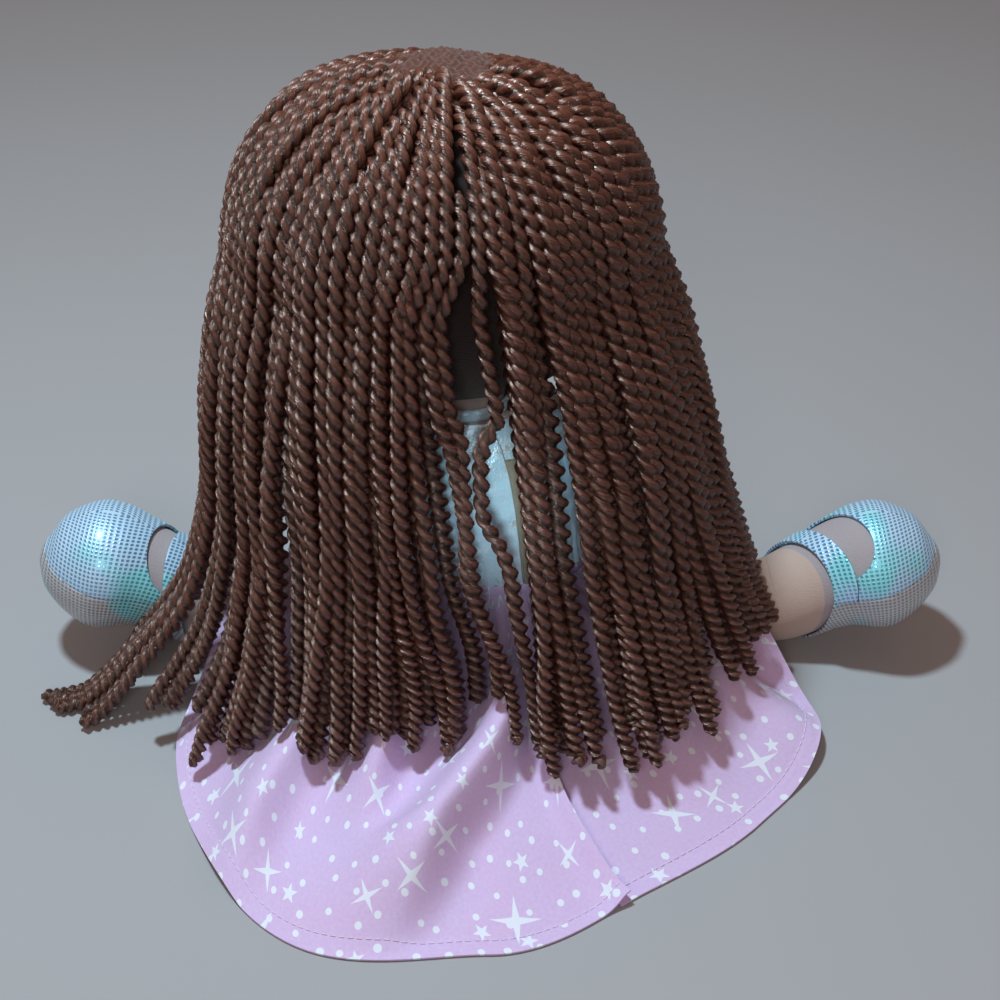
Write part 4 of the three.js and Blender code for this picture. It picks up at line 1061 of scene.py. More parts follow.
class DOLL_OT_crown(bpy.types.Operator):
    """The felted patch at the crown where the sewn yarn has rubbed flat"""
    bl_idname = "rag_doll.crown"
    bl_label = "Felted crown"

    def execute(self, context):
        share, turn = np.meshgrid(np.linspace(0.01, 1, 60), all_round(2), indexing="ij")
        x = CROWN_HALF_WIDTH * share * np.cos(turn)
        y = CROWN_BACK + CROWN_HALF_DEPTH * share * np.sin(turn)
        lumps = 0.5 * np.sin(0.4 * x + 1.1) * np.sin(0.33 * y) + 1.0 * np.sin(
            1.15 * x + np.sin(0.7 * y)) * np.sin(1.1 * y + np.sin(0.6 * x))
        out = lerp(CROWN_LIFT, CROWN_EDGE_LIFT, share ** 3) + lumps
        wide, deep = HEAD_HALF_WIDTH + out, HEAD_HALF_DEPTH + out
        rest = np.sqrt(1 - (x / wide) ** 2 - (y / deep) ** 2)
        points = np.stack([x + HEAD_SHIFT, y, HEAD_HEIGHT + (HEAD_HALF_HEIGHT + out) * rest],
                          axis=-1)
        piece = grid_piece("hair_crown_felt", points, ring=True)
        close_rows(piece, 180, 0)
        face_away(piece, (HEAD_SHIFT, 0, HEAD_HEIGHT))
        thicken(piece, 1.5)
        felt = brushed_knit("Felted acrylic yarn", colours().felt, colours().yarn)
        dress(piece, felt, "head_group", "hair_yarn")
        return {"FINISHED"}


# The felted crown: half sizes, how far behind the middle it lies and its heights over the cap
CROWN_HALF_WIDTH, CROWN_HALF_DEPTH, CROWN_BACK = 21.0, 26.0, 2.0
CROWN_LIFT, CROWN_EDGE_LIFT = 6.4, 5.0

# Where the hair hangs parted behind the neck: the parting's angle and half width in degrees,
# then the strands' angles and how far each moves aside
PART_ANGLE, PART_HALF_WIDTH = -10.0, 9.4
PARTED = ([-50, -29.5, -25.6, -21.7, -17.7, -13.8, -9.8, -5.9, -2, 2, 5.9, 9.8, 20],
          [0, -0.4, -1.0, -0.3, -1.8, -3.5, 2.0, 7.4, 6.4, 5.4, 4.4, 3.4, 0])
# Strands by number at the parting's edge: shares of the way and degrees to the side
ASIDE = {
    30: ([0.8, 1.06, 1.2, 1.235, 1.27, 1.3, 1.37, 1.41, 1.45, 1.49, 1.56, 2],
         [-1, -3.3, -4, -0.9, 0.7, 1.4, 2.1, 2.8, 1.9, 0, -1.4, -1.4]),
    31: ([0.8, 1.0, 1.2, 1.27, 1.5, 1.7, 2], [0, -1.0, -1.6, -4.0, -4.4, -3.5, -2]),
    32: ([0.8, 1.2, 1.27, 1.5, 1.7, 2], [0, -0.8, -2.4, -2.8, -2, -1]),
}


class DOLL_OT_hair_cap(bpy.types.Operator):
    """The dark knit cap that the yarn is sewn to, cut off at the hairline and the nape"""
    bl_idname = "rag_doll.hair_cap"
    bl_label = "Hair cap"

    def execute(self, context):
        piece = ball("hair_cap_cloth", segments=96, rings=64)
        out = SEAM_GAP + CAP_THICKNESS
        piece.data.transform(Matrix.Diagonal((
            (HEAD_HALF_WIDTH + out) * MM, (HEAD_HALF_DEPTH + out) * MM,
            (HEAD_HALF_HEIGHT + out) * MM, 1)))
        piece.data.transform(Matrix.Translation((HEAD_SHIFT * MM, 0, HEAD_HEIGHT * MM)))
        lean = math.radians(HAIRLINE_LEAN)
        cuts = [((0, -HAIRLINE_FORWARD * MM, (HEAD_HEIGHT + HEAD_HALF_HEIGHT) * MM),
                 (0, math.cos(lean), math.sin(lean))),
                ((0, 0, (HEAD_HEIGHT - NAPE_DROP) * MM), (0, 0, 1))]
        only(piece)
        bpy.ops.object.mode_set(mode="EDIT")
        for place, normal in cuts:
            bpy.ops.mesh.select_all(action="SELECT")
            bpy.ops.mesh.bisect(plane_co=place, plane_no=normal, clear_inner=True)
        bpy.ops.object.mode_set(mode="OBJECT")
        thicken(piece, CAP_THICKNESS, 40)
        c = colours()
        dress(piece, brushed_knit("Dark cap jersey", c.cap, c.yarn_dark), "head_group",
              "cap_cloth", "hair_cap")
        return {"FINISHED"}


# ---- head and face
class DOLL_OT_head(bpy.types.Operator):
    """The stuffed head, with a hollow under it for the neck"""
    bl_idname = "rag_doll.head"
    bl_label = "Head"

    def execute(self, context):
        piece = ball("head_knit", segments=128, rings=84)
        points = points_of(piece) * MM
        points = points * [HEAD_HALF_WIDTH, HEAD_HALF_DEPTH, HEAD_HALF_HEIGHT]
        points += [HEAD_SHIFT, 0, HEAD_HEIGHT]
        far = np.hypot(points[:, 0] - lean_at(PIVOT_HEIGHT), points[:, 1])
        under = (far < SOCKET_RADIUS) & (points[:, 2] < HEAD_HEIGHT)
        points[under, 2] = PIVOT_HEIGHT + np.sqrt(SOCKET_RADIUS ** 2 - far[under] ** 2)
        piece.data.vertices.foreach_set("co", (points * MM).ravel())
        piece.data.update()
        # The face stays free of dimples, so that the embroidery lies on it
        face = smoothstep(-points[:, 1], 20, 45)
        hollows = dimples(points, seed=11, size=46, depth=0.5) - 0.3
        push_along_normals(piece, hollows * (1 - face))
        smooth_shade(piece)
        dress(piece, skin(), "head_group", "skin_cloth", "head")
        return {"FINISHED"}


def on_face(x, z, outwards):
    """Points on the front of the head at places across and up, in millimetres."""
    wide, deep = HEAD_HALF_WIDTH + outwards, HEAD_HALF_DEPTH + outwards
    tall = HEAD_HALF_HEIGHT + outwards
    rest = 1 - (x / wide) ** 2 - ((z - HEAD_HEIGHT) / tall) ** 2
    return np.stack([x + HEAD_SHIFT, -deep * np.sqrt(np.maximum(rest, 0)), z], axis=-1)


def satin_patch(name, outline, rings, height):
    """Domed satin-stitched patch inside an outline on the face, from its middle outwards."""
    middle = outline.mean(axis=0)
    shares = np.linspace(0, 1, rings)[1:]
    layers = [on_face(middle[:1], middle[1:], SEAM_GAP + height)]
    for share in shares:
        flat = lerp(middle, outline, share)
        layers.append(on_face(flat[:, 0], flat[:, 1],
                              SEAM_GAP + height * (1 - share ** 4) + 0.1))
    count = len(outline)
    layers.append(on_face(outline[:, 0], outline[:, 1], SEAM_GAP - THREAD_SINK))
    vertices = np.vstack(layers)
    faces = [(0, 1 + k, 1 + (k + 1) % count) for k in range(count)]
    for r in range(len(layers) - 2):
        for k in range(count):
            a, b = 1 + r * count + k, 1 + r * count + (k + 1) % count
            faces.append((a, a + count, b + count, b))
    base = 1 + (len(layers) - 2) * count
    faces.append(tuple(base + k for k in range(count)))
    piece = new_piece(name, vertices, faces)
    face_out(piece)
    return piece


def ellipse(x, z, half_width, half_height, count):
    """Outline on the face about a place across and up, in millimetres."""
    turns = np.linspace(0, 2 * math.pi, count, endpoint=False)
    return np.stack([x + half_width * np.cos(turns), z + half_height * np.sin(turns)], axis=-1)


# Embroidery, in millimetres: how far its edge is sunk, places and half sizes, and the mouth's
# arc: its middle's height, radius, half sweep in degrees and half width of the line
THREAD_SINK = 0.6
EYE_PLACE, EYE_SIZE, EYE_HEIGHT = (23, 198), (5.2, 6.4), 0.8
GLINT_OFFSET, GLINT_SIZE, GLINT_HEIGHT = (1.6, 2.6), (1.3, 1.3), 1.1
NOSE_PLACE, NOSE_SIZE, NOSE_HEIGHT = (0, 187), (2.8, 2.2), 0.8
MOUTH_HEIGHT, MOUTH_RADIUS, MOUTH_SWEEP, MOUTH_HALF_WIDTH = 189, 15, 42, 0.95


class DOLL_OT_face(bpy.types.Operator):
    """Embroidered eyes, nose and mouth"""
    bl_idname = "rag_doll.face"
    bl_label = "Face"

    def execute(self, context):
        c = colours()
        dark = sewn_thread("Eye thread", c.eye)
        pale = sewn_thread("White thread", linear("#e8e4de"))
        for side, name in SIDES:
            x, z = EYE_PLACE[0] * side, EYE_PLACE[1]
            eye = satin_patch("eye_thread_" + name, ellipse(x, z, *EYE_SIZE, count=40),
                              rings=6, height=EYE_HEIGHT)
            dress(eye, dark, "head_group", "eye_thread", "eye_" + name)
            glint = ellipse(x + GLINT_OFFSET[0], z + GLINT_OFFSET[1], *GLINT_SIZE, count=16)
            light = satin_patch("eye_light_" + name, glint, rings=3, height=GLINT_HEIGHT)
            dress(light, pale, "head_group", "eye_thread")
        nose = satin_patch("nose_stitches", ellipse(*NOSE_PLACE, *NOSE_SIZE, count=24),
                           rings=4, height=NOSE_HEIGHT)
        dress(nose, sewn_thread("Nose thread", c.nose), "head_group", "nose_thread", "nose")
        sweep = np.radians(np.linspace(-MOUTH_SWEEP, MOUTH_SWEEP, 40))
        middle = np.stack([MOUTH_RADIUS * np.sin(sweep),
                           MOUTH_HEIGHT - MOUTH_RADIUS * np.cos(sweep)], axis=-1)
        taper = MOUTH_HALF_WIDTH * np.cos(sweep * 1.7) ** 0.5
        across = unit(np.stack([np.sin(sweep), -np.cos(sweep)], axis=-1))
        outline = np.vstack([middle + across * taper[:, None],
                             (middle - across * taper[:, None])[::-1]])
        mouth = mouth_patch(outline, len(middle))
        dress(mouth, sewn_thread("Mouth thread", c.mouth), "head_group", "mouth_thread", "mouth")
        return {"FINISHED"}


def mouth_patch(outline, count):
    """Curved stem-stitched line between the two long sides of an outline."""
    low, high = outline[:count], outline[count:][::-1]
    rows = [on_face(low[:, 0], low[:, 1], SEAM_GAP - THREAD_SINK)]
    for share in (0.0, 0.25, 0.5, 0.75, 1.0):
        flat = lerp(low, high, share)
        rows.append(on_face(flat[:, 0], flat[:, 1],
                            SEAM_GAP + 0.15 + 0.8 * math.sin(math.pi * share)))
    rows.append(on_face(high[:, 0], high[:, 1], SEAM_GAP - THREAD_SINK))
    points = np.stack(rows)
    vertices = points.reshape(-1, 3)
    total = len(rows)
    faces = []
    for r in range(total):
        for k in range(count - 1):
            a, b = r * count + k, ((r + 1) % total) * count + k
            faces.append((a, b, b + 1, a + 1))
    faces.append(tuple(r * count for r in range(total)))
    faces.append(tuple(r * count + count - 1 for r in reversed(range(total))))
    piece = new_piece("mouth_stitches", vertices, faces)
    face_out(piece)
    return piece


# ---- body
class DOLL_OT_body(bpy.types.Operator):
    """The stuffed torso and neck"""
    bl_idname = "rag_doll.body"
    bl_label = "Torso and neck"

    def execute(self, context):
        torso = stuffed_copy("torso_knit", "torso", voxel=1.6, rounds=8)
        points = points_of(torso)
        free = smoothstep(points[:, 2], 2, 12)
        push_along_normals(torso, dimples(points, seed=21, size=34, depth=0.4) * free - 0.1)
        dress(torso, skin(), "trunk", "skin_cloth", "torso")

        join = math.asin(NECK_RADIUS / NECK_BALL_RADIUS)
        turns = math.pi - join - (math.pi - join) * np.linspace(0, 1, 26)
        rise = np.concatenate([[TORSO_HEIGHT + SEAM_GAP] * 8,
                               PIVOT_HEIGHT + NECK_BALL_RADIUS * np.cos(turns)])
        radius = np.concatenate([NECK_RADIUS * np.linspace(0.02, 1, 8),
                                 np.maximum(NECK_BALL_RADIUS * np.sin(turns), 0.05)])
        round_ = all_round(5)
        gather = 1 - 0.02 * (1 + np.cos(18 * round_)) / 2
        neck = grid_piece("neck_knit", neck_points(radius[:, None] * gather, rise, round_),
                          ring=True)
        close_rows(neck, len(round_), 0, len(rise) - 1)
        dress(neck, skin(), "trunk", "skin_cloth", "neck")
        return {"FINISHED"}


def neck_points(radii, heights, angles):
    """Points round the neck, by rows of radii at heights."""
    return np.stack([radii * np.sin(angles) + lean_at(PIVOT_HEIGHT), radii * np.cos(angles),
                     heights[:, None] + 0 * radii], axis=-1)


def close_rows(piece, columns, *rows):
    """Closes a ringed grid over the rows that are named."""
    mesh = bmesh.new()
    mesh.from_mesh(piece.data)
    mesh.verts.ensure_lookup_table()
    for row in rows:
        mesh.faces.new([mesh.verts[row * columns + k] for k in range(columns)])
    bmesh.ops.recalc_face_normals(mesh, faces=mesh.faces)
    mesh.to_mesh(piece.data)
    mesh.free()


class DOLL_OT_bodice(bpy.types.Operator):
    """Three foil panels on the torso, with gathers over the waist, and the neck binding"""
    bl_idname = "rag_doll.bodice"
    bl_label = "Bodice"

    def execute(self, context):
        thick = sizes().foil_thickness / MM
        seam = SEAM_GAP / TORSO_HALF_WIDTH
        side, opening = math.radians(SIDE_SEAM_ANGLE), math.radians(OPENING_ANGLE)
        panels = [("bodice_back_left", -opening + seam, side - seam),
                  ("bodice_back_right", -side + seam, -opening - seam),
                  ("bodice_front", side + seam, 2 * math.pi - side - seam)]
        for name, first, last in panels:
            columns = int((last - first) * 60)
            angles, heights = np.meshgrid(np.linspace(first, last, columns),
                                          np.linspace(BODICE_START, BODICE_END, 60))
            low = 1 - smoothstep(heights, BODICE_START, BODICE_START + 24)
            gathers = 0.7 * low * np.cos(52 * angles + 0.8 * np.sin(5 * angles))
            creases = 0.35 * np.sin(7 * angles + heights * 0.21) * np.sin(
                heights * 0.33 + 4 * angles)
            points = torso_points(angles, heights, SEAM_GAP + FOIL_ROOM + gathers + creases)
            piece = cut_piece(name + "_cloth", points, arm_hole(points))
            thicken(piece, thick, 60)
            dress(piece, glitter_foil(), "trunk", "bodice_foil", name)
        round_ = all_round(4)
        profile = all_round(30)
        middle_radius = NECK_RADIUS + SEAM_GAP + BINDING_OUT
        tube = middle_radius + BINDING_BULGE * np.cos(profile)[:, None] + 0.15 * np.cos(
            20 * round_)
        rise = TORSO_HEIGHT + SEAM_GAP + BINDING_MIDDLE + BINDING_RISE * np.sin(profile)
        points = neck_points(tube, rise, round_)
        points = np.concatenate([points, points[:1]], axis=0)
        binding = grid_piece("neck_binding_cloth", points, ring=True)
        face_out(binding)
        dress(binding, glitter_foil(), "trunk", "bodice_foil", "neck_binding")
        return {"FINISHED"}


def arm_hole(points):
    """True where a bodice panel stays clear of both sleeves."""
    radius = ARM_RADIUS + SEAM_GAP + FOIL_ROOM + 0.5
    keep = np.ones(points.shape[:2], bool)
    lean = math.tan(math.radians(ARM_SPLAY))
    for side in (1, -1):
        away = side * (points[..., 0] - lean_at(SHOULDER_HEIGHT)) - SHOULDER_HALF_SPAN
        far = np.hypot(points[..., 1], points[..., 2] - SHOULDER_HEIGHT)
        inside = np.where(far < radius, -np.sqrt(np.maximum(0, radius ** 2 - far ** 2)),
                          (far - radius) * lean)
        keep &= away < inside
    return keep


TAPES = ("closure_loop_tape", "closure_hook_tape")
TAPE_WIDTH, TAPE_THICKNESS, TAPE_END = 8.0, 0.8, 117


class DOLL_OT_closure(bpy.types.Operator):
    """Two touch-close strips on the back opening of the bodice"""
    bl_idname = "rag_doll.closure"
    bl_label = "Back closure"

    def execute(self, context):
        tape = woven_tape("Woven touch-close tape")
        wide = TAPE_WIDTH / TORSO_HALF_DEPTH
        opening = math.radians(OPENING_ANGLE)
        for layer, name in enumerate(("closure_loop_strip", "closure_hook_strip")):
            out = FOIL_ROOM + 2 * SEAM_GAP + layer * TAPE_LAYER + 0.9
            angles, heights = np.meshgrid(np.linspace(-opening - wide, -opening, 10),
                                          np.linspace(BODICE_START + 0.4, TAPE_END, 60))
            points = torso_points(angles, heights, out + 0.15 * np.sin(heights * 0.6))
            piece = grid_piece(TAPES[layer], points)
            face_away(piece, (0, 0, 90))
            thicken(piece, TAPE_THICKNESS, 40, bevel=0.15)
            dress(piece, tape, "trunk", "closure_tape", name)
        return {"FINISHED"}


# ---- skirt
def skirt_half(first, last, columns, rows, lap):
    """Grid and cloth coordinates of one half of the skirt; lap lifts its edge at the slit."""
    across, shares = np.meshgrid(np.linspace(0, 1, columns), np.linspace(0, 1, rows))
    angles = np.radians(lerp(first(shares), last(shares), across))
    heights = skirt_height(angles, shares)
    edge = bump(np.degrees(angles) - slit_angle(shares), 2.2) * smoothstep(shares, 0, 0.2)
    heights = np.maximum(heights + lap * edge, LOWEST_CLOTH)
    hem = sizes().hem_depth / MM
    reach = lerp(waist_at(angles), hem_at(angles), shares)
    fringe = (1 - shares) * (hem_at(angles) - waist_at(angles))
    heights = heights + 0.35 * (1 - smoothstep(fringe, hem - 0.6, hem + 0.3)) - 0.3 * bump(
        fringe - hem, 0.7)
    points = np.stack([reach * np.sin(angles), reach * np.cos(angles), heights], axis=-1)
    along = lengths_along(points[-1])
    down = np.concatenate([np.zeros((1, columns)), np.cumsum(
        np.linalg.norm(np.diff(points, axis=0), axis=2), axis=0)])
    uvs = np.stack([np.broadcast_to(along, angles.shape), down - down[-1:]], axis=-1)
    return points, uvs, along[-1], float(down[-1].mean())


class DOLL_OT_skirt(bpy.types.Operator):
    """The waistband and the two gathered halves of the skirt, with their hem stitches"""
    bl_idname = "rag_doll.skirt"
    bl_label = "Skirt"

    def execute(self, context):
        s = sizes()
        cotton = printed_cotton("Printed plain-weave cotton")
        thread = sewn_thread("Hem thread", colours().thread)
        # The left half's edge at the slit lies over the right one's; both meet in front
        halves = [("left", slit_angle, lambda v: 0 * v + FRONT_SEAM, 5.78, 260),
                  ("right", lambda v: 0 * v - FRONT_SEAM,
                   lambda v: slit_angle(v) + 1.6 * v - 0.2, -2.21, 220)]
        for name, first, last, lap, columns in halves:
            points, uvs, hem_length, depth = skirt_half(first, last, columns, SKIRT_ROWS, lap)
            piece = grid_piece("skirt_" + name + "_cloth", points, uvs)
            face_up(piece)
            thicken(piece, s.cotton_thickness / MM, 60)
            dress(piece, cotton, None, "skirt_cotton", "skirt_" + name)
            row = int(round((len(points) - 1) * (1 - s.hem_depth / MM / depth)))
            line = points[row] + UP * 0.15
            stitches = stitch_row("skirt_" + name + "_hem_stitches", line,
                                  hem_normals(points, row), s.stitch_length / MM, gap=0.9,
                                  thickness=0.42)
            dress(stitches, thread, None, "skirt_cotton")
            for part in (piece, stitches):
                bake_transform(part)
        round_ = all_round(2)
        profile = all_round(24)
        deep, tall = WAISTBAND_THICKNESS / 2, WAISTBAND_WIDTH / 2
        out = SEAM_GAP + deep + deep * boxed(np.cos(profile), 0.6)
        rise = WAIST_HEIGHT + tall * boxed(np.sin(profile), 0.7)
        angles, outs = np.meshgrid(round_, out)
        heights = np.broadcast_to(rise[:, None], angles.shape)
        puckers = 0.25 * np.cos(47 * angles)
        points = torso_points(angles, heights, outs + puckers)
        points = np.concatenate([points, points[:1]], axis=0)
        uvs = np.stack([angles * TORSO_HALF_WIDTH, heights], axis=-1)
        uvs = np.concatenate([uvs, uvs[:1]], axis=0)
        band = grid_piece("waistband_cloth", points, uvs, ring=True)
        face_out(band)
        dress(band, cotton, "trunk", "skirt_cotton", "waistband")
        return {"FINISHED"}


def boxed(wave, power):
    """A sine or cosine with fuller sides, for a section between an ellipse and a box."""
    return np.sign(wave) * np.abs(wave) ** power


def face_up(piece):
    """Turns an open sheet so that its faces look up."""
    mesh = piece.data
    if sum(p.normal.z * p.area for p in mesh.polygons) < 0:
        mesh.flip_normals()


def hem_normals(points, row):
    """Normals of a grid of points along one of its rows."""
    along = np.gradient(points[row], axis=0)
    down = points[min(row + 1, len(points) - 1)] - points[row - 1]
    normals = unit(np.cross(along, down))
    return normals * np.sign(normals[:, 2:3])


# ---- arms and sleeves
def arm_place(points, side):
    """Lays points made along +Z from the shoulder down along a hanging arm."""
    turn = math.pi - side * math.radians(ARM_SPLAY)
    c, s = math.cos(turn), math.sin(turn)
    x, y, z = points[..., 0], points[..., 1], points[..., 2]
    return np.stack([c * x + s * z + side * SHOULDER_HALF_SPAN + lean_at(SHOULDER_HEIGHT), y,
                     -s * x + c * z + SHOULDER_HEIGHT], axis=-1)


class DOLL_OT_arms(bpy.types.Operator):
    """The stuffed arms and their short foil sleeves"""
    bl_idname = "rag_doll.arms"
    bl_label = "Arms and sleeves"

    def execute(self, context):
        thick = sizes().foil_thickness / MM
        for side, name in SIDES:
            arm = stuffed_copy("arm_knit_" + name, "arm_" + name, voxel=1.0, rounds=6)
            push_along_normals(arm, dimples(points_of(arm), seed=30 + side, size=18,
                                            depth=0.25) - 0.05)
            dress(arm, skin(), name + "_arm", "skin_cloth", "arm_" + name)
            # The sleeve's rounded cap over the shoulder, then its straight part
            rows, cap_rows = 40, 14
            latitudes = np.radians(np.linspace(-54, 0, cap_rows))
            radius = ARM_RADIUS + SEAM_GAP + FOIL_ROOM
            rise = np.concatenate([radius * np.sin(latitudes),
                                   np.linspace(0, SLEEVE_LENGTH, rows - cap_rows + 1)[1:]])
            wide = np.concatenate([radius * np.cos(latitudes),
                                   np.full(rows - cap_rows, radius)])
            round_ = all_round(4)
            low = smoothstep(rise, SLEEVE_LENGTH - 9, SLEEVE_LENGTH)
            wide = wide + 0.5 * np.sin(np.linspace(0, math.pi, len(rise))) - 0.2 * low
            wall = wide[:, None] + 0.3 * low[:, None] * np.cos(22 * round_)
            points = np.stack([wall * np.cos(round_), wall * np.sin(round_),
                               rise[:, None] + 0 * wall], axis=-1)
            placed = arm_place(points, side)
            sleeve = grid_piece("sleeve_cloth_" + name, placed, ring=True)
            face_away(sleeve, placed.reshape(-1, 3).mean(axis=0))
            thicken(sleeve, thick, 60)
            dress(sleeve, glitter_foil(), name + "_arm", "bodice_foil", "sleeve_" + name)
        return {"FINISHED"}


def face_away(piece, centre):
    """Turns an open sheet so that its faces look away from a point in millimetres."""
    mesh, middle = piece.data, Vector(centre) * MM
    if sum((p.center - middle).dot(p.normal) * p.area for p in mesh.polygons) < 0:
        mesh.flip_normals()


# ---- legs, feet and shoes
def foot_frame(side, places):
    """Middle line of a foot, its upward directions and its fullness, at shares of its length."""
    line = np.stack([side * (ANKLE_REACH + FOOT_REACH * FOOT_ROWS[:, 0]),
                     np.full(len(FOOT_ROWS), -HIP_FORWARD),
                     HIP_HEIGHT + FOOT_RISE * FOOT_ROWS[:, 1]], axis=-1)
    steps = np.clip(places, 0, 1) * (len(FOOT_ROWS) - 1)
    middle = catmull(line, steps)
    ahead = catmull(line, np.clip(steps + 0.01, 0, len(FOOT_ROWS) - 1)) - catmull(
        line, np.clip(steps - 0.01, 0, len(FOOT_ROWS) - 1))
    ahead = unit(ahead)
    ahead[0] = [side, 0, 0]
    fullness = catmull(np.stack([FOOT_ROWS[:, 2]] * 2, axis=-1), steps)[:, 0]
    up = np.cross(ahead, [0, side, 0])
    return middle, ahead, up * np.sign(up[:, 2:3]), fullness


def foot_surface(side, outwards, rows, columns):
    """Grid over a foot from the ankle seam to the toes, with cloth coordinates."""
    places = np.linspace(0, 1, rows)
    middle, ahead, up, fullness = foot_frame(side, places)
    radius = FOOT_RADIUS * fullness + outwards
    middle = middle + ahead * (outwards * smoothstep(places, 0.75, 1))[:, None]
    tip = 6
    shrink = 1 - np.arange(1, tip + 1) / tip
    grow = 1 - shrink ** 2
    middle = np.vstack([middle, middle[-1] + ahead[-1] * (grow * 0.22 * radius[-1])[:, None]])
    up = np.vstack([up, np.repeat(up[-1:], tip, axis=0)])
    radius = np.concatenate([radius, radius[-1] * np.maximum(shrink, 0.02)])
    turns = np.linspace(0, 2 * math.pi, columns, endpoint=False)
    across = np.array([0.0, 1.0, 0.0])
    points = (middle[:, None, :] + (radius[:, None] * np.cos(turns))[..., None] * across
              + (radius[:, None] * np.sin(turns))[..., None] * up[:, None, :])
    along = lengths_along(middle)
    # The grid of dots is square on both sides of the shoe and is stretched over its ridge
    side_turn = np.arcsin(np.clip(np.sin(turns), -1, 1))
    uvs = np.stack([along[:, None] + 0 * turns, radius[:, None] * side_turn], axis=-1)
    return points, uvs


def plane_distance(points, place, normal):
    """Distance of points past a plane, along its normal."""
    return (points - place) @ normal


def shoe_places(side):
    """The planes that part a shoe's panels, and the middle and axes of its window."""
    reach, turn = COLLARS[side][0], math.radians(COLLARS[side][1])
    edge = np.array([side * (ANKLE_REACH + reach), -HIP_FORWARD, HIP_HEIGHT])
    edge_normal = np.array([side * math.cos(turn), -math.sin(turn), 0])
    tilt = unit(np.array([side * FOOT_REACH, 0, FOOT_RISE]))
    below = np.array([side * tilt[2], 0, -abs(tilt[0])])
    sole = np.array([side * (ANKLE_REACH + FOOT_REACH / 2), -HIP_FORWARD,
                     HIP_HEIGHT + FOOT_RISE / 2]) - below * SOLE_RISE
    roll = math.radians(WINDOW_ROLL)
    level = side * np.cross(UP, edge_normal)
    outward = UP * math.cos(roll) + level * math.sin(roll)
    middle = edge + edge_normal * STRAP_WIDTH + UP * WINDOW_RISE + level * (
        FOOT_RADIUS * math.sin(roll))
    window = (middle, outward, np.cross(edge_normal, outward), COLLARS[side][2])
    return edge, edge_normal, sole, below, window


def window_depth(points, edge_normal, window):
    """Below one inside the lens-shaped window over the instep."""
    middle, outward, around, half_length = window
    off = points - middle
    return np.sqrt((off @ edge_normal / half_length) ** 2
                   + (off @ outward / (2 * FOOT_RADIUS)) ** 2
                   + (off @ around / WINDOW_HALF_WIDTH) ** 2)


def snap_to_edge(points, uvs, signed):
    """A grid's points, where signed isn't negative, and cloth coordinates, after the points
    nearest to where signed crosses zero have moved onto the crossing."""
    rows, columns = signed.shape
    moved_points, moved_uvs = points.copy(), uvs.copy()
    moved = np.zeros((rows, columns), bool)
    best = np.full((rows, columns), 2.0)
    for dr, dc in ((1, 0), (0, 1), (1, 1), (1, -1)):
        for r in range(rows - dr):
            other_c = (np.arange(columns) + dc) % columns
            a, b = signed[r], signed[r + dr, other_c]
            cross = (a * b) < 0
            for c in np.nonzero(cross)[0]:
                t = a[c] / (a[c] - b[c])
                here, there = (r, c), (r + dr, int(other_c[c]))
                near, share = (here, t) if t < 0.5 else (there, 1 - t)
                if share < best[near]:
                    best[near] = share
                    place = lerp(points[here], points[there], t)
                    moved_points[near] = place
                    if abs(int(other_c[c]) - c) <= 1:
                        moved_uvs[near] = lerp(uvs[here], uvs[there], t)
                    moved[near] = True
    return moved_points, np.where(moved, 0.0, signed) >= -1e-6, moved_uvs


class DOLL_OT_legs(bpy.types.Operator):
    """The stuffed legs and feet"""
    bl_idname = "rag_doll.legs"
    bl_label = "Legs and feet"

    def execute(self, context):
        for side, name in SIDES:
            leg = stuffed_copy("leg_knit_" + name, "leg_" + name, voxel=1.5, rounds=8)
            points = points_of(leg)
            # A shallow groove runs round the leg just before the foot
            creases = 0.3 * bump(side * points[:, 0] - (ANKLE_REACH - 3), 2.2)
            hollows = dimples(points, seed=40 + side, size=26, depth=0.35)
            push_along_normals(leg, hollows - 0.05 - creases)
            dress(leg, skin(), name + "_leg", "skin_cloth", "leg_" + name)
            grid, _ = foot_surface(side, outwards=0.0, rows=90, columns=72)
            foot = grid_piece("foot_knit_" + name, grid, ring=True)
            close_rows(foot, 72, 0, len(grid) - 1)
            face_out(foot)
            smooth_shade(foot, 70)
            dress(foot, ankle_knit("Brushed foot jersey " + name, side), name + "_leg",
                  "foot_cloth", "foot_" + name)
        return {"FINISHED"}


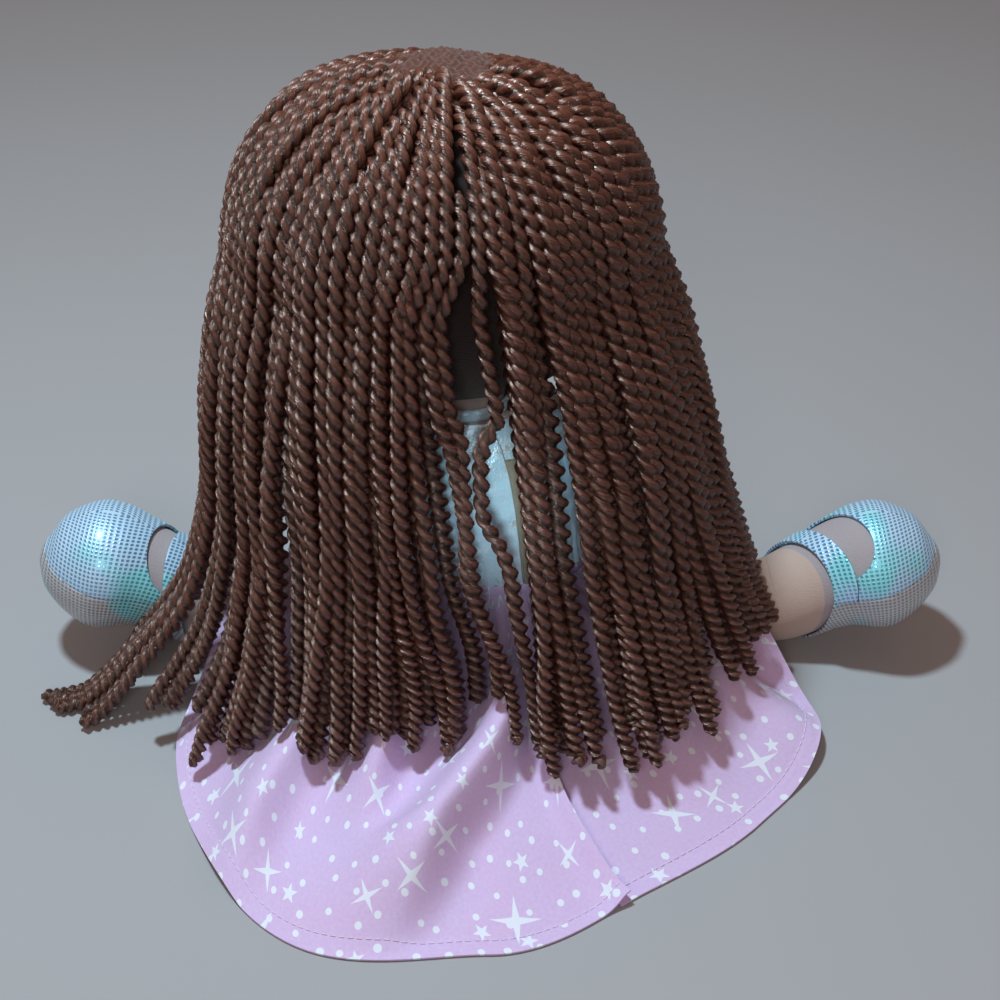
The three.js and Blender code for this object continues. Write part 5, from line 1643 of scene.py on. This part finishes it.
class DOLL_OT_shoes(bpy.types.Operator):
    """Foil uppers with a window over the instep, straps and soles"""
    bl_idname = "rag_doll.shoes"
    bl_label = "Shoes"

    def execute(self, context):
        c = colours()
        foil = dotted_foil("Dotted mirror foil on stretch cloth", c.shoe, c.shoe_dot)
        # The underside is the upper's foil in greyer colours: painted shade and reflection of the
        # floor
        under = dotted_foil("Dotted mirror foil, underside in painted shade", c.sole, linear("#93999f"))
        for side, name in SIDES:
            points, uvs = foot_surface(side, SEAM_GAP + SHOE_ROOM, rows=96, columns=150)
            edge, edge_normal, sole, below, window = shoe_places(side)
            worn = plane_distance(points, edge, edge_normal)
            under_sole = plane_distance(points, sole, below)
            open_at = (window_depth(points, edge_normal, window) - 1) * window[3]
            above = -under_sole - PANEL_GAP
            strap = np.minimum(np.minimum(worn, STRAP_WIDTH - worn), above)
            upper = np.minimum(np.minimum(worn - STRAP_WIDTH - PANEL_GAP, above), open_at)
            centre = points.reshape(-1, 3).mean(axis=0)
            for part, signed, material, lift in (
                    ("upper", upper, foil, 0.0), ("strap", strap, foil, 0.35),
                    ("sole", np.minimum(worn, under_sole), under, 0.0)):
                piece = cut_piece(f"shoe_{part}_{name}_cloth",
                                  *snap_to_edge(points, uvs, signed), ring=True)
                face_away(piece, centre)
                if lift:
                    apply_modifier(piece, "DISPLACE", strength=lift * MM, mid_level=0.0)
                thicken(piece, SHOE_THICKNESS, 50, bevel=0.25)
                dress(piece, material, name + "_leg", "shoe_foil", f"shoe_{part}_{name}")
        return {"FINISHED"}


# ---- stage
class DOLL_OT_stage(bpy.types.Operator):
    """Plain paper floor, three lamps, the ambient light and the camera"""
    bl_idname = "rag_doll.stage"
    bl_label = "Stage"

    def execute(self, context):
        scene = context.scene
        bpy.ops.object.select_all(action="DESELECT")
        bpy.ops.mesh.primitive_plane_add(size=6, location=(0, 0, 0))
        ground = context.object
        ground.name = "studio_floor"
        only(ground)
        bpy.ops.object.mode_set(mode="EDIT")
        bpy.ops.mesh.subdivide(number_cuts=1)
        bpy.ops.object.mode_set(mode="OBJECT")
        ground.data.materials.append(studio_paper("Matt studio paper"))

        for name, place, aim, size, cone, watts, colour in LAMPS:
            lamp = bpy.data.lights.new(name, "SPOT" if cone else "AREA")
            lamp.energy, lamp.color = watts, colour
            if cone:
                lamp.spot_size, lamp.spot_blend = math.radians(cone), 1.0
                lamp.shadow_soft_size = size
            else:
                lamp.shape, lamp.size = "DISK", size
            thing = bpy.data.objects.new(name, lamp)
            scene.collection.objects.link(thing)
            thing.location = place
            thing.rotation_euler = (Vector(aim) - Vector(place)).to_track_quat(
                "-Z", "Y").to_euler()
        world = scene.world or bpy.data.worlds.new("Studio")
        scene.world = world
        world.use_nodes = True
        world.node_tree.nodes.clear()
        ambient = add_node(world.node_tree, "Background", {
            "Color": WORLD_COLOUR, "Strength": WORLD_STRENGTH})
        add_node(world.node_tree, "OutputWorld", links={0: ambient})

        lens = bpy.data.cameras.new("Camera")
        camera = bpy.data.objects.new("Camera", lens)
        scene.collection.objects.link(camera)
        lens.lens, lens.sensor_width, lens.shift_x = CAMERA_LENS, 36.0, 0.010
        lens.clip_start, lens.clip_end = 0.01, 50.0
        rise = math.radians(CAMERA_RISE)
        back = Vector((0, math.cos(rise), math.sin(rise)))
        camera.location = Vector(CAMERA_AIM) + back * CAMERA_DISTANCE
        camera.rotation_euler = (-back).to_track_quat("-Z", "Y").to_euler()
        scene.camera = camera
        scene.view_settings.view_transform = "Standard"
        return {"FINISHED"}


# Each lamp: name, place, what it points at, size, cone in degrees (none for a disk), power and
# colour. The bodice lamp is narrow: it lights only what shows of the bodice through the hair.
LAMPS = [
    ("key_lamp", (0.26, 0.02, 1.22), (0, 0.03, 0.05), 0.12, None, 12.9, (0.70, 0.90, 1.0)),
    ("fill_lamp", (0.10, 0.98, 0.72), (0, 0.04, 0.10), 0.30, None, 2.3, (1.0, 0.91, 0.90)),
    ("bodice_lamp", (-0.006, 0.60, 0.42), (-0.006, 0.03, 0.101), 0.02, 6.5, 12.5,
     (0.60, 0.88, 1.0)),
]
WORLD_COLOUR = (1.0, 0.64, 0.50, 1.0)
WORLD_STRENGTH = 0.26
# The camera stands behind the doll: what it aims at, its distance, rise in degrees and lens
CAMERA_AIM, CAMERA_DISTANCE, CAMERA_RISE, CAMERA_LENS = (0, 0.020, 0.095), 0.7, 35, 63.0


class DOLL_PT_panel(bpy.types.Panel):
    bl_label = "Rag Doll"
    bl_idname = "DOLL_PT_panel"
    bl_space_type = "VIEW_3D"
    bl_region_type = "UI"
    bl_category = "Rag Doll"

    def draw(self, context):
        for group in (context.scene.rag_doll_sizes, context.scene.rag_doll_colours):
            column = self.layout.column()
            for key in group.__annotations__:
                column.prop(group, key)
        for operator in OPERATORS:
            self.layout.operator(operator.bl_idname)


OPERATORS = (DOLL_OT_stage, DOLL_OT_head, DOLL_OT_face, DOLL_OT_hair_cap, DOLL_OT_crown,
             DOLL_OT_hair, DOLL_OT_body, DOLL_OT_closure, DOLL_OT_bodice, DOLL_OT_arms,
             DOLL_OT_legs, DOLL_OT_shoes, DOLL_OT_skirt)
CLASSES = (DollSizes, DollColours) + OPERATORS + (DOLL_PT_panel,)


def register():
    for cls in CLASSES:
        bpy.utils.register_class(cls)
    bpy.types.Scene.rag_doll_sizes = bpy.props.PointerProperty(type=DollSizes)
    bpy.types.Scene.rag_doll_colours = bpy.props.PointerProperty(type=DollColours)


def unregister():
    del bpy.types.Scene.rag_doll_sizes
    del bpy.types.Scene.rag_doll_colours
    for cls in reversed(CLASSES):
        bpy.utils.unregister_class(cls)


def main():
    register()
    for operator in OPERATORS:
        group, call = operator.bl_idname.split(".")
        getattr(getattr(bpy.ops, group), call)()


if __name__ == "__main__":
    main()
